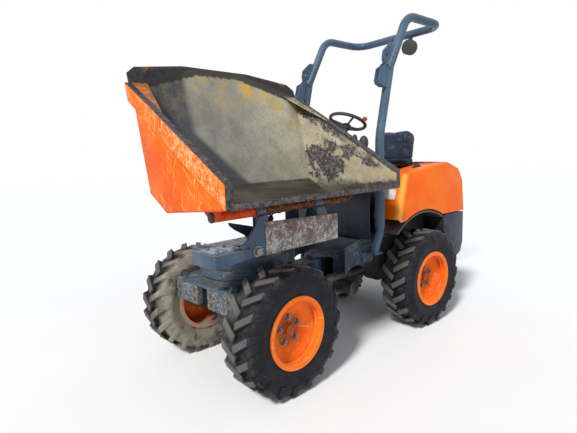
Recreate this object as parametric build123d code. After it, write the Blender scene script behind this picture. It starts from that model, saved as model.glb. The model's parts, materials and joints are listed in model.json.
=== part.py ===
from build123d import *
from math import cos, pi, radians, sin
import os

# Articulated site dumper with a swivel skip, millimetres, +Z up, standing on z = 0.
# The machine faces -Y and its own left side is +X. Everything is laid out about the vertical
# articulation pin at x = y = 0, and moved to the middle of its overall box when it is written.
# It is parked with the front chassis turned a little to the left and the skip swung to the left.

# ---- driving dimensions ----
WHEELBASE = 1490.0
TRACK = 932.0
STEER_REST = 4.0
SWIVEL_REST = 90.0
RUN_GAP = 0.5
SEAT_GAP = 0.3
PIVOT_FIT = 1.0

# ---- wheels: 10.0/75-15.3 tyres on deep-dished rims ----
TYRE_R = 382.5
TYRE_W = 264.0
BEAD_R = 194.0
FLANGE_R = 212.0
RIM_W = 230.0
RIM_WALL = 7.0
FLANGE_T = 8.0
DISH_X = 12.0
DISH_T = 9.0
DISH_RISE = 34.0
DISH_FLAT_R = 118.0
HUB_R = 62.0
HUB_L = 58.0
SPINDLE_R = 30.0
LUG_COUNT = 19
LUG_H = 28.0
LUG_W = 36.0
LUG_SKEW = 88.0
LUG_PHASE = 7.9
TYRE_SIDES = 23

# ---- axles ----
AXLE_R = 55.0
AXLE_FLANGE_R = 78.0
AXLE_FLANGE_T = 24.0
DIFF_R = 118.0
DIFF_W = 210.0
SEAT_X = 200.0
SEAT_W = 70.0

# ---- articulation ----
PIN_R = 32.0
PIVOT_R = 62.0
YOKE_Z0 = 290.0
YOKE_Z1 = 625.0
YOKE_T = 25.0
YOKE_GAP = 10.0

# ---- front chassis ----
DECK_W = 635.0
DECK_T = 16.0
DECK_Z = 610.0
DECK_FRONT = 1000.0
DECK_REAR = 330.0
RAIL_X = 190.0
RAIL_T = 20.0
RAIL_LOW = 440.0
TAIL_LOW = 340.0
EYE_X = DECK_W / 2 - 40
EYE_Y = 45 - DECK_FRONT
EYE_T = 16.0
EYE_R = 13.0
EYE_RISE = 18.0
RING_AHEAD = 632.0
RING_R = 315.0
SPIGOT_R = 90.0

# ---- swing frame, in its own frame: ahead of and to the left of the ring's axis ----
TABLE_Z = 775.0
TABLE_T = 15.0
BEAM_FRONT = 455.0
BEAM_BACK = 235.0
BEAM_LOW = 837.0
BEAM_TOP = 915.0
BEAM_RIGHT = -337.0
NOSE_TOP = 888.0
BACK_TOP = 868.0
PLATE = 12.0
PANEL_TOP = 1022.0
PANEL_LEFT = 384.0
PANEL_RIGHT = -227.0
NOSE_END = -560.0
UPRIGHT_IN = 200.0
UPRIGHT_OUT = 265.0
BUSH_R = 33.0
HINGE_AHEAD = 412.0
HINGE_Z = 1078.0
HINGE_PIN_R = 20.0

# ---- skip ----
SKIP_HALF = 641.0
SKIP_WALL = 6.0
LIP_AHEAD = 735.0
LIP_LOW = 1147.0
LIP_TOP = 1262.0
LIP_T = 28.0
SKIP_TOP = 1950.0
SKIP_REAR = -330.0
KNEE = (-15.0, 1195.0)
HEEL = (154.0, 1096.0)
RIM_T = 36.0
RIM_DEPTH = 95.0
RIM_BACK_T = 10.0
TUBE_R = 26.0
TUBE_HALF = 538.0
LUG_AT = (110.0, 528.0)

# ---- rear chassis ----
SIDE_X = 309.0
SIDE_T = 12.0
FRAME_TOP = 850.0
FRAME_REAR = 1280.0
WALL_FRONT = 180.0
GUARD_Y = 222.0
GUARD_TOP = 1095.0
FLOOR_Z = 760.0
BODY_HALF = 500.0
BODY_LOW = 858.0
BODY_REAR = 1330.0
BODY_WALL = 6.0
BODY_HINGE_Y = 1344.0
BODY_HINGE_Z = 852.0
BODY_HINGE_X = 300.0
ENGINE_LOW = 510.0
ARCH_R = 540.0
SEAT_BAY = 262.0

# ---- roll-over frame ----
POST_X = 420.0
POST_R = 31.0
SLEEVE_R = 37.0
POST_Y = 285.0
LEAN_Z = 1480.0
LEAN = 0.24
HOOP_LEAN = 0.55
FOLD_Y = 352.0
FOLD_Z = 1980.0
FOLD_BOLT_R = 9.0
HOOP_TOP = 2352.0
HOOP_REAR = 1065.0
HOOP_BEND = 120.0
HOOP_BEND_FRONT = 150.0
LAMP_X = 145.0
LAMP_R = 60.0

# ---- steering wheel ----
WHEEL_RING_R = 142.0
WHEEL_GRIP_R = 13.0
WHEEL_BOSS_LOW = 62.0
WHEEL_RING_AT = (0.0, 418.0, 1625.0)
WHEEL_AXIS = (0.0, 0.41, 0.91)

# ---- hydraulic rams: pin to pin at rest ----
STEER_RAM_X = 200.0
STEER_RAM_REAR = 330.0
STEER_RAM_FRONT = 280.0
STEER_RAM_Z = 475.0
TIP_RAM_FOOT = (82.0, 822.0)
TIP_RAM_HEAD = (267.0, 1045.0)
TIP_LUG_X = 40.0
EAR_HALF = 34.0
RAM_PIN_R = 12.0

AXLE_Y = WHEELBASE / 2
HALF_TRACK = TRACK / 2
WHEEL_Z = TYRE_R


def block(x0, x1, y0, y1, z0, z1):
    """A box between two corners."""
    middle = Pos((x0 + x1) / 2, (y0 + y1) / 2, (z0 + z1) / 2)
    return middle * Box(abs(x1 - x0), abs(y1 - y0), abs(z1 - z0))


def side_cut(points, x0, x1):
    """A prism along X from an outline of (y, z) points."""
    face = Plane.YZ.offset(x0) * Polygon(*points, align=None)
    return extrude(face, amount=x1 - x0, dir=(1, 0, 0))


def cross_cut(points, y0, y1):
    """A prism along Y from an outline of (x, z) points."""
    face = Plane.XZ.offset(-y0) * Polygon(*points, align=None)
    return extrude(face, amount=y1 - y0, dir=(0, 1, 0))


def plan_cut(points, z0, z1):
    """A prism along Z from an outline of (x, y) points."""
    face = Plane.XY.offset(z0) * Polygon(*points, align=None)
    return extrude(face, amount=z1 - z0, dir=(0, 0, 1))


def bar(start, end, radius):
    """A round bar between two points."""
    start, end = Vector(*start), Vector(*end)
    return extrude(Plane(origin=start, z_dir=end - start) * Circle(radius), amount=(end - start).length)


def pipe(points, radius, bends):
    """A round bar bent along a line of points, with one bend radius for each inner point."""
    path = FilletPolyline(*points, radius=bends)
    return sweep(Plane(origin=path @ 0, z_dir=path % 0) * Circle(radius), path=path)


def ahead(points):
    """An outline of (ahead, z) points as (y, z) points."""
    return [(-forward, z) for forward, z in points]


def both_sides(shape):
    """A shape and its mirror image across the machine's centre plane."""
    return shape + mirror(shape, about=Plane.YZ)


def in_front(shape):
    """From the straight front chassis to the parked one."""
    return Rot(0, 0, STEER_REST) * shape


def in_swing(shape):
    """From the swing frame's own frame to where it is parked."""
    return in_front(Pos(0, -RING_AHEAD, 0) * Rot(0, 0, SWIVEL_REST) * shape)


# ---- wheels ----
def tyre_carcass():
    """The tyre under its lugs, a ring of flat facets that a render shades as round."""
    half = TYRE_W / 2
    bead = RIM_W / 2 - FLANGE_T - SEAT_GAP
    clear_r = (FLANGE_R + SEAT_GAP) / cos(pi / TYRE_SIDES)
    side = [(bead, clear_r), (half - 1, TYRE_R - 92), (half - LUG_H, TYRE_R - LUG_H - 4)]
    profile = [(-x, r) for x, r in side] + side[::-1]
    rings = [Plane.YZ.offset(x) * RegularPolygon(r, TYRE_SIDES) for x, r in profile]
    bore = Plane.YZ * RegularPolygon(BEAD_R + SEAT_GAP, TYRE_SIDES, major_radius=False)
    return loft(rings, ruled=True) - extrude(bore, amount=TYRE_W, both=True)


def tread_lug():
    """One slanting lug at the top of the tyre, from its middle out over its shoulder."""
    half = TYRE_W / 2
    tip, tail = -LUG_SKEW / 2, LUG_SKEW / 2
    plan = [(-9, tip + 17), (5, tip - LUG_W / 2), (half, tail - LUG_W / 2 - 2), (half, tail + LUG_W / 2 + 2)]
    top = TYRE_R - 5
    side = [(-12, TYRE_R - 60), (-12, top), (half - 30, top), (half, TYRE_R - 88), (half - 30, TYRE_R - 88)]
    return plan_cut(plan, 0, TYRE_R) & cross_cut(side, -LUG_SKEW, LUG_SKEW)


def tyre_body():
    """Chevron lugs, the two halves half a pitch apart, with their points leading as the wheel rolls ahead."""
    outer_lug = tread_lug()
    inner_lug = mirror(outer_lug, about=Plane.YZ)
    lugs = []
    for step in range(LUG_COUNT):
        lugs.append(Rot(LUG_PHASE + 360 * step / LUG_COUNT, 0, 0) * outer_lug)
        lugs.append(Rot(LUG_PHASE + 360 * (step + 0.5) / LUG_COUNT, 0, 0) * inner_lug)
    return tyre_carcass().fuse(*lugs)


def rim_body():
    half = RIM_W / 2
    inside = BEAD_R - RIM_WALL
    barrel = [
        (half, inside),
        (half, FLANGE_R),
        (half - FLANGE_T, FLANGE_R),
        (half - FLANGE_T, BEAD_R),
        (FLANGE_T - half, BEAD_R),
        (FLANGE_T - half, FLANGE_R),
        (-half, FLANGE_R),
        (-half, inside),
    ]
    dish = [
        (DISH_X - HUB_L - DISH_T, HUB_R),
        (DISH_X, HUB_R),
        (DISH_X, DISH_FLAT_R),
        (DISH_X + DISH_RISE, inside + 1),
        (DISH_X + DISH_RISE + DISH_T, inside + 1),
        (DISH_X + DISH_T, DISH_FLAT_R - DISH_T / 2),
        (DISH_X + DISH_T, SPINDLE_R + 8),
        (DISH_X, SPINDLE_R + RUN_GAP),
        (DISH_X - HUB_L - DISH_T, SPINDLE_R + RUN_GAP),
    ]
    ring = revolve(Polygon(*barrel, align=None), axis=Axis.X)
    return ring + revolve(Polygon(*dish, align=None), axis=Axis.X)


def axle_body(y):
    """Axle casing with its differential, end flanges and wheel spindles."""
    hub_inner = HALF_TRACK + DISH_X - HUB_L - DISH_T
    flange_end = hub_inner - PIVOT_FIT
    flange_start = flange_end - AXLE_FLANGE_T
    spindle_end = HALF_TRACK + DISH_X - 2
    casing = [
        (0, DIFF_R),
        (DIFF_W / 4, DIFF_R),
        (DIFF_W / 2, AXLE_R + 12),
        (DIFF_W / 2 + 20, AXLE_R),
        (flange_start, AXLE_R),
        (flange_start, AXLE_FLANGE_R),
        (flange_end, AXLE_FLANGE_R),
        (flange_end, SPINDLE_R),
        (spindle_end, SPINDLE_R),
        (spindle_end, 0),
        (0, 0),
    ]
    half = revolve(Polygon(*casing, align=None), axis=Axis.X)
    return Pos(0, y, WHEEL_Z) * both_sides(half)


def axle_seats(y, top):
    """Saddles that clamp the axle under the chassis rails."""
    saddle = block(SEAT_X - SEAT_W / 2, SEAT_X + SEAT_W / 2, y - 60, y + 60, WHEEL_Z + 30, top)
    hole = Pos(SEAT_X, y, WHEEL_Z) * Rot(0, 90, 0) * Cylinder(AXLE_R + SEAT_GAP, SEAT_W * 2)
    return both_sides(saddle - hole)


def wheels():
    """Left wheels as drawn and right wheels as their mirror images."""
    parts = {}
    for name, shape in (("tyre", tyre_body()), ("rim", rim_body())):
        for end, y in (("front", -AXLE_Y), ("rear", AXLE_Y)):
            left = Pos(HALF_TRACK, y, WHEEL_Z) * shape
            for side, wheel in (("left", left), ("right", mirror(left, about=Plane.YZ))):
                parts[f"{name}_{end}_{side}"] = in_front(wheel) if end == "front" else wheel
    return parts


# ---- front chassis ----
def front_deck():
    """Deck plate that carries the ring, with its two tie-down eyes."""
    deck = block(-DECK_W / 2, DECK_W / 2, -DECK_FRONT, -DECK_REAR, DECK_Z - DECK_T, DECK_Z)
    eye = Pos(EYE_X, EYE_Y, DECK_Z + 8) * Rot(0, 90, 0) * Cylinder(34, EYE_T)
    eye_hole = Pos(EYE_X, EYE_Y, DECK_Z + EYE_RISE) * Rot(0, 90, 0) * Cylinder(EYE_R, 40)
    eyes = both_sides(eye - block(0, DECK_W, -DECK_FRONT, 0, 0, DECK_Z - 1) - eye_hole)
    return deck + eyes


def front_rails():
    """Two rails under the deck, with the saddles that hold the axle and the steering ram's ears."""
    under = DECK_Z - DECK_T
    outline = [
        (-DECK_FRONT + 40, under),
        (-DECK_FRONT + 40, under - 70),
        (-DECK_FRONT + 110, RAIL_LOW),
        (-560, RAIL_LOW),
        (-460, TAIL_LOW),
        (-340, TAIL_LOW),
        (-340, under),
    ]
    rails = both_sides(side_cut(outline, RAIL_X - RAIL_T / 2, RAIL_X + RAIL_T / 2))
    seats = axle_seats(-AXLE_Y, RAIL_LOW + 40)
    inner = RAIL_X - RAIL_T / 2 + 2
    lug = plan_cut([(inner, -345), (STEER_RAM_X + 35, -345), (STEER_RAM_X + 35, -262), (inner, -262)], 0, PLATE)
    ears = Pos(0, 0, STEER_RAM_Z + EAR_HALF) * lug + Pos(0, 0, STEER_RAM_Z - EAR_HALF - PLATE) * lug
    return rails + seats + ears


def front_tail():
    """Wedge of two plates and a web that reaches back to the articulation housing."""
    top = YOKE_Z1 - YOKE_T - YOKE_GAP
    low = YOKE_Z0 + YOKE_T + YOKE_GAP
    inner = RAIL_X - RAIL_T / 2
    wedge = [(-inner, -460), (inner, -460), (inner, -340), (PIVOT_R - 4, -180), (PIVOT_R - 4, 0),
             (4 - PIVOT_R, 0), (4 - PIVOT_R, -180), (-inner, -340)]
    plate_top = min(top, DECK_Z - DECK_T)
    tail = plan_cut(wedge, plate_top - DECK_T, plate_top) + plan_cut(wedge, TAIL_LOW, TAIL_LOW + DECK_T)
    housing = Pos(0, 0, (top + low) / 2) * Cylinder(PIVOT_R, top - low)
    web = block(-RAIL_T / 2, RAIL_T / 2, -460, 0, TAIL_LOW, plate_top)
    pin_hole = Pos(0, 0, (top + low) / 2) * Cylinder(PIN_R + PIVOT_FIT, top - low + 20)
    return tail + web + housing - pin_hole


def front_guards():
    """Thick bolted blocks under the deck's front edge."""
    guard = block(55, 300, -DECK_FRONT + 2, -DECK_FRONT + 38, 470, DECK_Z - DECK_T)
    return both_sides(guard)


def ring_layers(layers):
    shape = None
    for radius, low, high in layers:
        disc = Pos(0, 0, (low + high) / 2) * Cylinder(radius, high - low)
        shape = disc if shape is None else shape + disc
    return shape


def lower_ring():
    layers = [
        (RING_R, DECK_Z, DECK_Z + 20),
        (RING_R - 18, DECK_Z + 20, DECK_Z + 34),
        (RING_R, DECK_Z + 34, DECK_Z + 52),
        (SPIGOT_R, DECK_Z + 52, TABLE_Z - 40),
    ]
    return Pos(0, -RING_AHEAD, 0) * ring_layers(layers)


def upper_ring():
    start = DECK_Z + 52 + RUN_GAP
    layers = [
        (RING_R, start, start + 26),
        (RING_R - 22, start + 26, start + 50),
        (RING_R, start + 50, TABLE_Z),
    ]
    well = Pos(0, 0, (start + TABLE_Z) / 2 - 15) * Cylinder(SPIGOT_R + RUN_GAP, TABLE_Z - start - 10)
    return ring_layers(layers) - well


# ---- swing frame: (left, ahead, z) from the ring's axis, left is +X and ahead is -Y ----
def swing_beam():
    """Box beam across the front of the swing frame, with a nose reaching out to the right."""
    beam_line = [(BEAM_RIGHT, BEAM_LOW), (PANEL_LEFT - 8, BEAM_LOW), (PANEL_LEFT - 8, BEAM_TOP),
                 (BEAM_RIGHT, BEAM_TOP)]
    front_wall = cross_cut(beam_line, -BEAM_FRONT, PLATE - BEAM_FRONT)
    back_wall = block(BEAM_RIGHT, PANEL_LEFT - 8, -BEAM_BACK - PLATE, -BEAM_BACK, BEAM_LOW, BACK_TOP)
    belly = block(BEAM_RIGHT, PANEL_LEFT - 8, -BEAM_FRONT, -BEAM_BACK, BEAM_LOW, BEAM_LOW + PLATE)
    end_wall = block(PANEL_LEFT - 8, PANEL_LEFT, -BEAM_FRONT, -BEAM_BACK, BEAM_LOW, PANEL_TOP - 22)
    nose_line = [(NOSE_END, 818), (BEAM_RIGHT, BEAM_LOW), (BEAM_RIGHT, NOSE_TOP), (NOSE_END, NOSE_TOP)]
    nose = cross_cut(nose_line, -BEAM_FRONT, -BEAM_BACK)
    brace_line = [(-165, BACK_TOP - 10), (-165, 900), (-272, 961), (-310, 992), (-313, 1010), (-140, 965),
                  (-130, BACK_TOP - 10)]
    brace = cross_cut(brace_line, -BEAM_BACK - PLATE, -BEAM_BACK)
    return front_wall + back_wall + belly + end_wall + nose + brace


def hinge_uprights():
    """Pair of tapered plates on the beam with the bushes that carry the skip's pin."""
    plate_line = [(UPRIGHT_IN, BEAM_TOP - 15), (UPRIGHT_IN, HINGE_Z - 22), (UPRIGHT_OUT, HINGE_Z - 22),
                  (293, 1003), (337, 955), (352, 934), (372, 922), (400, 915)]
    right_line = [(-left, z) for left, z in plate_line + [(400, BEAM_TOP - 15)]]
    left_line = plate_line[:5] + [(337, BEAM_TOP - 15)]
    plates = cross_cut(right_line, -BEAM_FRONT, PLATE - BEAM_FRONT)
    plates = plates + cross_cut(left_line, -BEAM_FRONT, PLATE - BEAM_FRONT)
    bush = bar((UPRIGHT_IN, -HINGE_AHEAD, HINGE_Z), (UPRIGHT_OUT, -HINGE_AHEAD, HINGE_Z), BUSH_R)
    return plates + both_sides(bush)


def swing_frame():
    table = block(-250, 250, -BEAM_BACK, 280, TABLE_Z, TABLE_Z + TABLE_T)
    web_line = [
        (-280, TABLE_Z), (BEAM_BACK, TABLE_Z), (BEAM_FRONT - PLATE, BEAM_LOW),
        (BEAM_FRONT - PLATE, HINGE_Z), (HINGE_AHEAD - BUSH_R, HINGE_Z), (330, 930), (300, NOSE_TOP),
        (BEAM_BACK, BACK_TOP), (-40, 815), (-280, 800),
    ]
    webs = both_sides(side_cut(ahead(web_line), 200, 200 + PLATE))
    foot_y, foot_z = -TIP_RAM_FOOT[0], TIP_RAM_FOOT[1]
    ear_line = [(foot_y - 34, TABLE_Z + TABLE_T), (foot_y + 34, TABLE_Z + TABLE_T),
                (foot_y + 22, foot_z + 20), (foot_y - 22, foot_z + 20)]
    ears = both_sides(side_cut(ear_line, TIP_LUG_X - 4, TIP_LUG_X + 8))
    pin = bar((-TIP_LUG_X - 8, foot_y, foot_z), (TIP_LUG_X + 8, foot_y, foot_z), RAM_PIN_R)
    bore = Pos(0, -HINGE_AHEAD, HINGE_Z) * Rot(0, 90, 0) * Cylinder(HINGE_PIN_R + RUN_GAP, 900)
    return table + webs + swing_beam() + hinge_uprights() - bore + ears + pin


def swing_panel():
    outline = [(PANEL_RIGHT, BEAM_LOW), (PANEL_LEFT, BEAM_LOW), (PANEL_LEFT, PANEL_TOP - 22),
               (PANEL_RIGHT, PANEL_TOP)]
    return cross_cut(outline, -BEAM_FRONT - 6, -BEAM_FRONT)


# ---- skip: walls cut from one hollow form, in the swing frame's own frame ----
TOP_EDGE = [  # ahead, z: from the lip up to the back
    (LIP_AHEAD, LIP_TOP),
    (100, 1655),
    (-155, 1806),
    (-190, 1900),
    (-240, SKIP_TOP),
    (SKIP_REAR, SKIP_TOP + 6),
]
SKIP_OUTLINE = [(LIP_AHEAD, LIP_LOW)] + TOP_EDGE + [(SKIP_REAR, 1300), KNEE, HEEL]
CORNER_LOW = (KNEE[0], SKIP_HALF, KNEE[1])
CORNER_TOP = (-150, SKIP_HALF, 1790)
CREASE_LOW = (KNEE[0], 60, KNEE[1])
CREASE_TOP = (-240, 165, SKIP_TOP)


def skip_point(ahead_left_z):
    forward, left, z = ahead_left_z
    return Vector(left, -forward, z)


def wall_plane(a, b, c):
    """A plane through three (ahead, left, z) points with its normal into the skip."""
    a, b, c = skip_point(a), skip_point(b), skip_point(c)
    normal = (b - a).cross(c - a)
    inside = Vector(0, -300, 1400)
    if normal.dot(inside - a) < 0:
        normal = normal * -1
    return Plane(origin=a, z_dir=normal)


def flip(point):
    return (point[0], -point[1], point[2])


def skip_planes():
    """The outer face of each wall, by name."""
    return {
        "floor": wall_plane((LIP_AHEAD, 0, LIP_LOW), (HEEL[0], 0, HEEL[1]), (HEEL[0], 100, HEEL[1])),
        "heel": wall_plane((HEEL[0], 0, HEEL[1]), (KNEE[0], 0, KNEE[1]), (KNEE[0], 100, KNEE[1])),
        "left": wall_plane((0, SKIP_HALF, 1200), (500, SKIP_HALF, 1200), (0, SKIP_HALF, 1500)),
        "right": wall_plane((0, -SKIP_HALF, 1200), (500, -SKIP_HALF, 1200), (0, -SKIP_HALF, 1500)),
        "corner_left": wall_plane(CORNER_LOW, CORNER_TOP, CREASE_TOP),
        "corner_right": wall_plane(flip(CORNER_LOW), flip(CORNER_TOP), flip(CREASE_TOP)),
        "back": wall_plane(CREASE_TOP, flip(CREASE_TOP), CREASE_LOW),
    }


def skip_walls():
    """Each wall as the slab under its outer face, less the walls named before it."""
    planes = skip_planes()
    form = side_cut(ahead(SKIP_OUTLINE), -SKIP_HALF, SKIP_HALF)
    for name in ("corner_left", "corner_right", "back"):
        form = split(form, bisect_by=planes[name], keep=Keep.TOP)
    walls = {}
    inner = form
    for name, plane in planes.items():
        rest = split(inner, bisect_by=plane.offset(SKIP_WALL), keep=Keep.TOP)
        walls[name] = inner - rest
        inner = rest
    return walls


def skip_floor(walls):
    lip_form = [(LIP_AHEAD, LIP_LOW), (LIP_AHEAD, LIP_LOW + LIP_T), (LIP_AHEAD - 45, LIP_LOW + LIP_T - 12),
                (LIP_AHEAD - 45, LIP_LOW - 4)]
    lip = side_cut(ahead(lip_form), SKIP_WALL - SKIP_HALF, SKIP_HALF - SKIP_WALL)
    return walls["floor"] + walls["heel"] + lip


def skip_gusset():
    """Triangular plate inside a rear corner, level with the top edge of the side."""
    left = SKIP_HALF - SKIP_WALL - SEAT_GAP
    (low_ahead, low_z), (high_ahead, high_z) = TOP_EDGE[1], TOP_EDGE[2]
    slope = (high_z - low_z) / (high_ahead - low_ahead)

    def edge_point(forward, inward):
        return skip_point((forward, left - inward, low_z + slope * (forward - low_ahead)))

    corners = [edge_point(170, 0), edge_point(-200, 0), edge_point(-200, 110)]
    plate = extrude(make_face(Polyline(*corners, close=True)), amount=-8)
    return split(plate, bisect_by=skip_planes()["corner_left"], keep=Keep.TOP)


def skip_back(walls):
    return walls["corner_left"] + walls["corner_right"] + walls["back"] + both_sides(skip_gusset())


def skip_rim():
    """Stiffening band round the outside of the top edge: deep bars on the sides, a flat strip behind."""
    low = [(SKIP_REAR, 1861), (-212, 1855), (-165, 1800), (-135, 1705), (120, 1540),
           (LIP_AHEAD - 40, LIP_TOP - RIM_DEPTH)]
    outline = [(LIP_AHEAD, LIP_LOW)] + TOP_EDGE + low
    planes = skip_planes()
    bars = side_cut(ahead(outline), -SKIP_HALF - RIM_T, SKIP_HALF + RIM_T)
    band = bars
    inside = side_cut(ahead(outline), -SKIP_HALF, SKIP_HALF)
    for name in ("corner_left", "corner_right", "back"):
        bars = split(bars, bisect_by=planes[name], keep=Keep.TOP)
        band = split(band, bisect_by=planes[name].offset(-RIM_BACK_T), keep=Keep.TOP)
        inside = split(inside, bisect_by=planes[name], keep=Keep.TOP)
    strip = band & block(-SKIP_HALF - RIM_BACK_T, SKIP_HALF + RIM_BACK_T, 0, 400, 1500, 2000)
    return bars + strip - inside


def skip_hinge():
    """Cross tube with its pin and the lugs that weld it under the floor."""
    axis_y = -HINGE_AHEAD
    pin = bar((-TUBE_HALF, axis_y, HINGE_Z), (TUBE_HALF, axis_y, HINGE_Z), HINGE_PIN_R)
    clear = 5.0
    outer = bar((UPRIGHT_OUT + clear, axis_y, HINGE_Z), (TUBE_HALF, axis_y, HINGE_Z), TUBE_R)
    centre = bar((clear - UPRIGHT_IN, axis_y, HINGE_Z), (UPRIGHT_IN - clear, axis_y, HINGE_Z), TUBE_R)

    def floor_z(forward):
        return HEEL[1] + (forward - HEEL[0]) * (LIP_LOW - HEEL[1]) / (LIP_AHEAD - HEEL[0]) - SEAT_GAP

    lug_line = [(HINGE_AHEAD - 75, floor_z(HINGE_AHEAD - 75)), (HINGE_AHEAD + 75, floor_z(HINGE_AHEAD + 75)),
                (HINGE_AHEAD + 20, HINGE_Z - 12), (HINGE_AHEAD - 20, HINGE_Z - 12)]
    lugs = None
    for left in LUG_AT:
        lug = side_cut(ahead(lug_line), left - 10, left + 10)
        lugs = lug if lugs is None else lugs + lug
    head, head_z = TIP_RAM_HEAD
    ear_line = [(head - 45, floor_z(head - 45)), (head + 45, floor_z(head + 45)), (head + 24, head_z - 20),
                (head - 24, head_z - 20)]
    ears = side_cut(ahead(ear_line), TIP_LUG_X - 4, TIP_LUG_X + 8)
    bridge_line = [(head + 20, floor_z(head + 20)), (HINGE_AHEAD, floor_z(HINGE_AHEAD)), (HINGE_AHEAD, HINGE_Z),
                   (head + 20, head_z)]
    bridge = side_cut(ahead(bridge_line), TIP_LUG_X - 4, TIP_LUG_X + 8)
    return both_sides(outer + lugs + ears + bridge) + centre + pin


# ---- rear chassis ----
def rear_frame():
    outline = [
        (30, 700), (30, 510), (100, 545), (167, 555), (425, 450), (1020, 450), (1100, 520),
        (FRAME_REAR, 520), (FRAME_REAR, FRAME_TOP), (WALL_FRONT + 240, FRAME_TOP), (WALL_FRONT + 240, FLOOR_Z - 20),
        (WALL_FRONT, FLOOR_Z - 20),
    ]
    sides = both_sides(side_cut(outline, SIDE_X - SIDE_T, SIDE_X))
    wall = block(-SIDE_X, SIDE_X, WALL_FRONT, WALL_FRONT + 15, 560, FLOOR_Z - 20)
    rear_wall = block(-SIDE_X, SIDE_X, FRAME_REAR - 15, FRAME_REAR, 520, FRAME_TOP)
    yoke_line = [(-PIVOT_R, 0), (-120, 120), (-120, 420), (120, 420), (120, 120), (PIVOT_R, 0)]
    lobe = Cylinder(PIVOT_R, YOKE_T)
    lower = plan_cut(yoke_line, YOKE_Z0, YOKE_Z0 + YOKE_T) + Pos(0, 0, YOKE_Z0 + YOKE_T / 2) * lobe
    upper = plan_cut(yoke_line, YOKE_Z1 - YOKE_T, YOKE_Z1) + Pos(0, 0, YOKE_Z1 - YOKE_T / 2) * lobe
    webs = both_sides(block(100, 112, 120, 420, YOKE_Z0, YOKE_Z1))
    pin = bar((0, 0, YOKE_Z0), (0, 0, YOKE_Z1), PIN_R)
    cross = block(-SIDE_X, SIDE_X, 408, 420, 480, FRAME_TOP - 120)
    seats = axle_seats(AXLE_Y, 480)
    saddle_beam = both_sides(block(SEAT_X - 30, SIDE_X, AXLE_Y - 60, AXLE_Y + 60, 460, 480))
    cradles = block(-SIDE_X, SIDE_X, 560, 600, 475, ENGINE_LOW - SEAT_GAP)
    cradles = cradles + block(-SIDE_X, SIDE_X, 1000, 1040, 475, ENGINE_LOW - SEAT_GAP)
    seat_beams = block(-SIDE_X, SIDE_X, 490, 530, FRAME_TOP - 12, FRAME_TOP)
    seat_beams = seat_beams + block(-SIDE_X, SIDE_X, 980, 1020, FRAME_TOP - 12, FRAME_TOP)
    lug = plan_cut([(112, 300), (STEER_RAM_X + 30, 300), (STEER_RAM_X + 30, 362), (112, 375)], 0, PLATE)
    ears = Pos(0, 0, STEER_RAM_Z + EAR_HALF) * lug + Pos(0, 0, STEER_RAM_Z - EAR_HALF - PLATE) * lug
    ram_pin = bar((STEER_RAM_X, STEER_RAM_REAR, STEER_RAM_Z - 46), (STEER_RAM_X, STEER_RAM_REAR, STEER_RAM_Z + 46),
                  RAM_PIN_R)
    body = sides + wall + rear_wall + lower + upper + webs + cross + seats + saddle_beam + ears
    return body + cradles + seat_beams + pin + ram_pin


def footwell():
    guard = block(8 + SLEEVE_R - POST_X, POST_X - SLEEVE_R - 8, GUARD_Y, GUARD_Y + 8, FLOOR_Z - 20 + SEAT_GAP, GUARD_TOP)
    floor = block(8 + SLEEVE_R - POST_X, POST_X - SLEEVE_R - 8, GUARD_Y, WALL_FRONT + 240 - SEAT_GAP,
                  FLOOR_Z - 20 + SEAT_GAP, FLOOR_Z - 8)
    return guard + floor


def wheel_arches():
    ring = Pos(0, AXLE_Y, WHEEL_Z) * Rot(0, 90, 0) * Cylinder(ARCH_R - 12, 2 * BODY_HALF)
    bore = Pos(0, AXLE_Y, WHEEL_Z) * Rot(0, 90, 0) * Cylinder(ARCH_R - 22, 2 * BODY_HALF + 10)
    band = ring - bore
    keep = block(SIDE_X, BODY_HALF - 4, 400, 1010, 700, 1000)
    return both_sides(band & keep)


def counterweight():
    outline = [(1020, BODY_LOW - 12), (BODY_REAR - 5, BODY_LOW - 12), (BODY_REAR - 5, 580), (1290, 500),
               (1230, 470), (1020, 470)]
    mass = side_cut(outline, -BODY_HALF, BODY_HALF)
    tyre_room = Pos(0, AXLE_Y, WHEEL_Z) * Rot(0, 90, 0) * Cylinder(TYRE_R + 45, 2 * BODY_HALF + 20)
    inside = block(-SIDE_X - SEAT_GAP, SIDE_X + SEAT_GAP, 900, FRAME_REAR + SEAT_GAP, 400, 900)
    bracket_line = [(BODY_REAR - 10, 800), (BODY_REAR, 800), (BODY_HINGE_Y + 11, BODY_HINGE_Z - 8),
                    (BODY_HINGE_Y + 11, BODY_HINGE_Z + 11), (BODY_HINGE_Y - 6, BODY_HINGE_Z + 11),
                    (BODY_REAR - 10, 840)]
    brackets = side_cut(bracket_line, BODY_HINGE_X + 7, BODY_HINGE_X + 17)
    brackets = brackets + side_cut(bracket_line, BODY_HINGE_X - 17, BODY_HINGE_X - 7)
    bore = Pos(0, BODY_HINGE_Y, BODY_HINGE_Z) * Rot(0, 90, 0) * Cylinder(6 + RUN_GAP, 2 * BODY_HALF)
    return mass - tyre_room - inside + both_sides(brackets) - bore


def tow_hitch():
    """Rear towing jaw with a drop pin hole."""
    jaw = block(-45, 45, BODY_REAR - 5 + SEAT_GAP, BODY_REAR + 75, 0, 16)
    plate = block(-60, 60, BODY_REAR - 5 + SEAT_GAP, BODY_REAR + 10, 560, 690)
    jaws = Pos(0, 0, 590) * jaw + Pos(0, 0, 646) * jaw
    return plate + jaws - Pos(0, BODY_REAR + 42, 620) * Cylinder(13, 200)


def engine_block():
    return block(-170, 170, 560, 1040, ENGINE_LOW, 830)


def seat_base():
    return block(-235, 235, 480, 1035, FRAME_TOP + SEAT_GAP, 1140)


def seat_cushion():
    return block(-225, 225, 490, 950, 1140 + SEAT_GAP, 1240)


def seat_back():
    outline = [(930, 1240 + SEAT_GAP), (1030, 1240 + SEAT_GAP), (1060, 1540), (1040, 1567), (995, 1567), (975, 1540)]
    return side_cut(outline, -212, 212)


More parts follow.
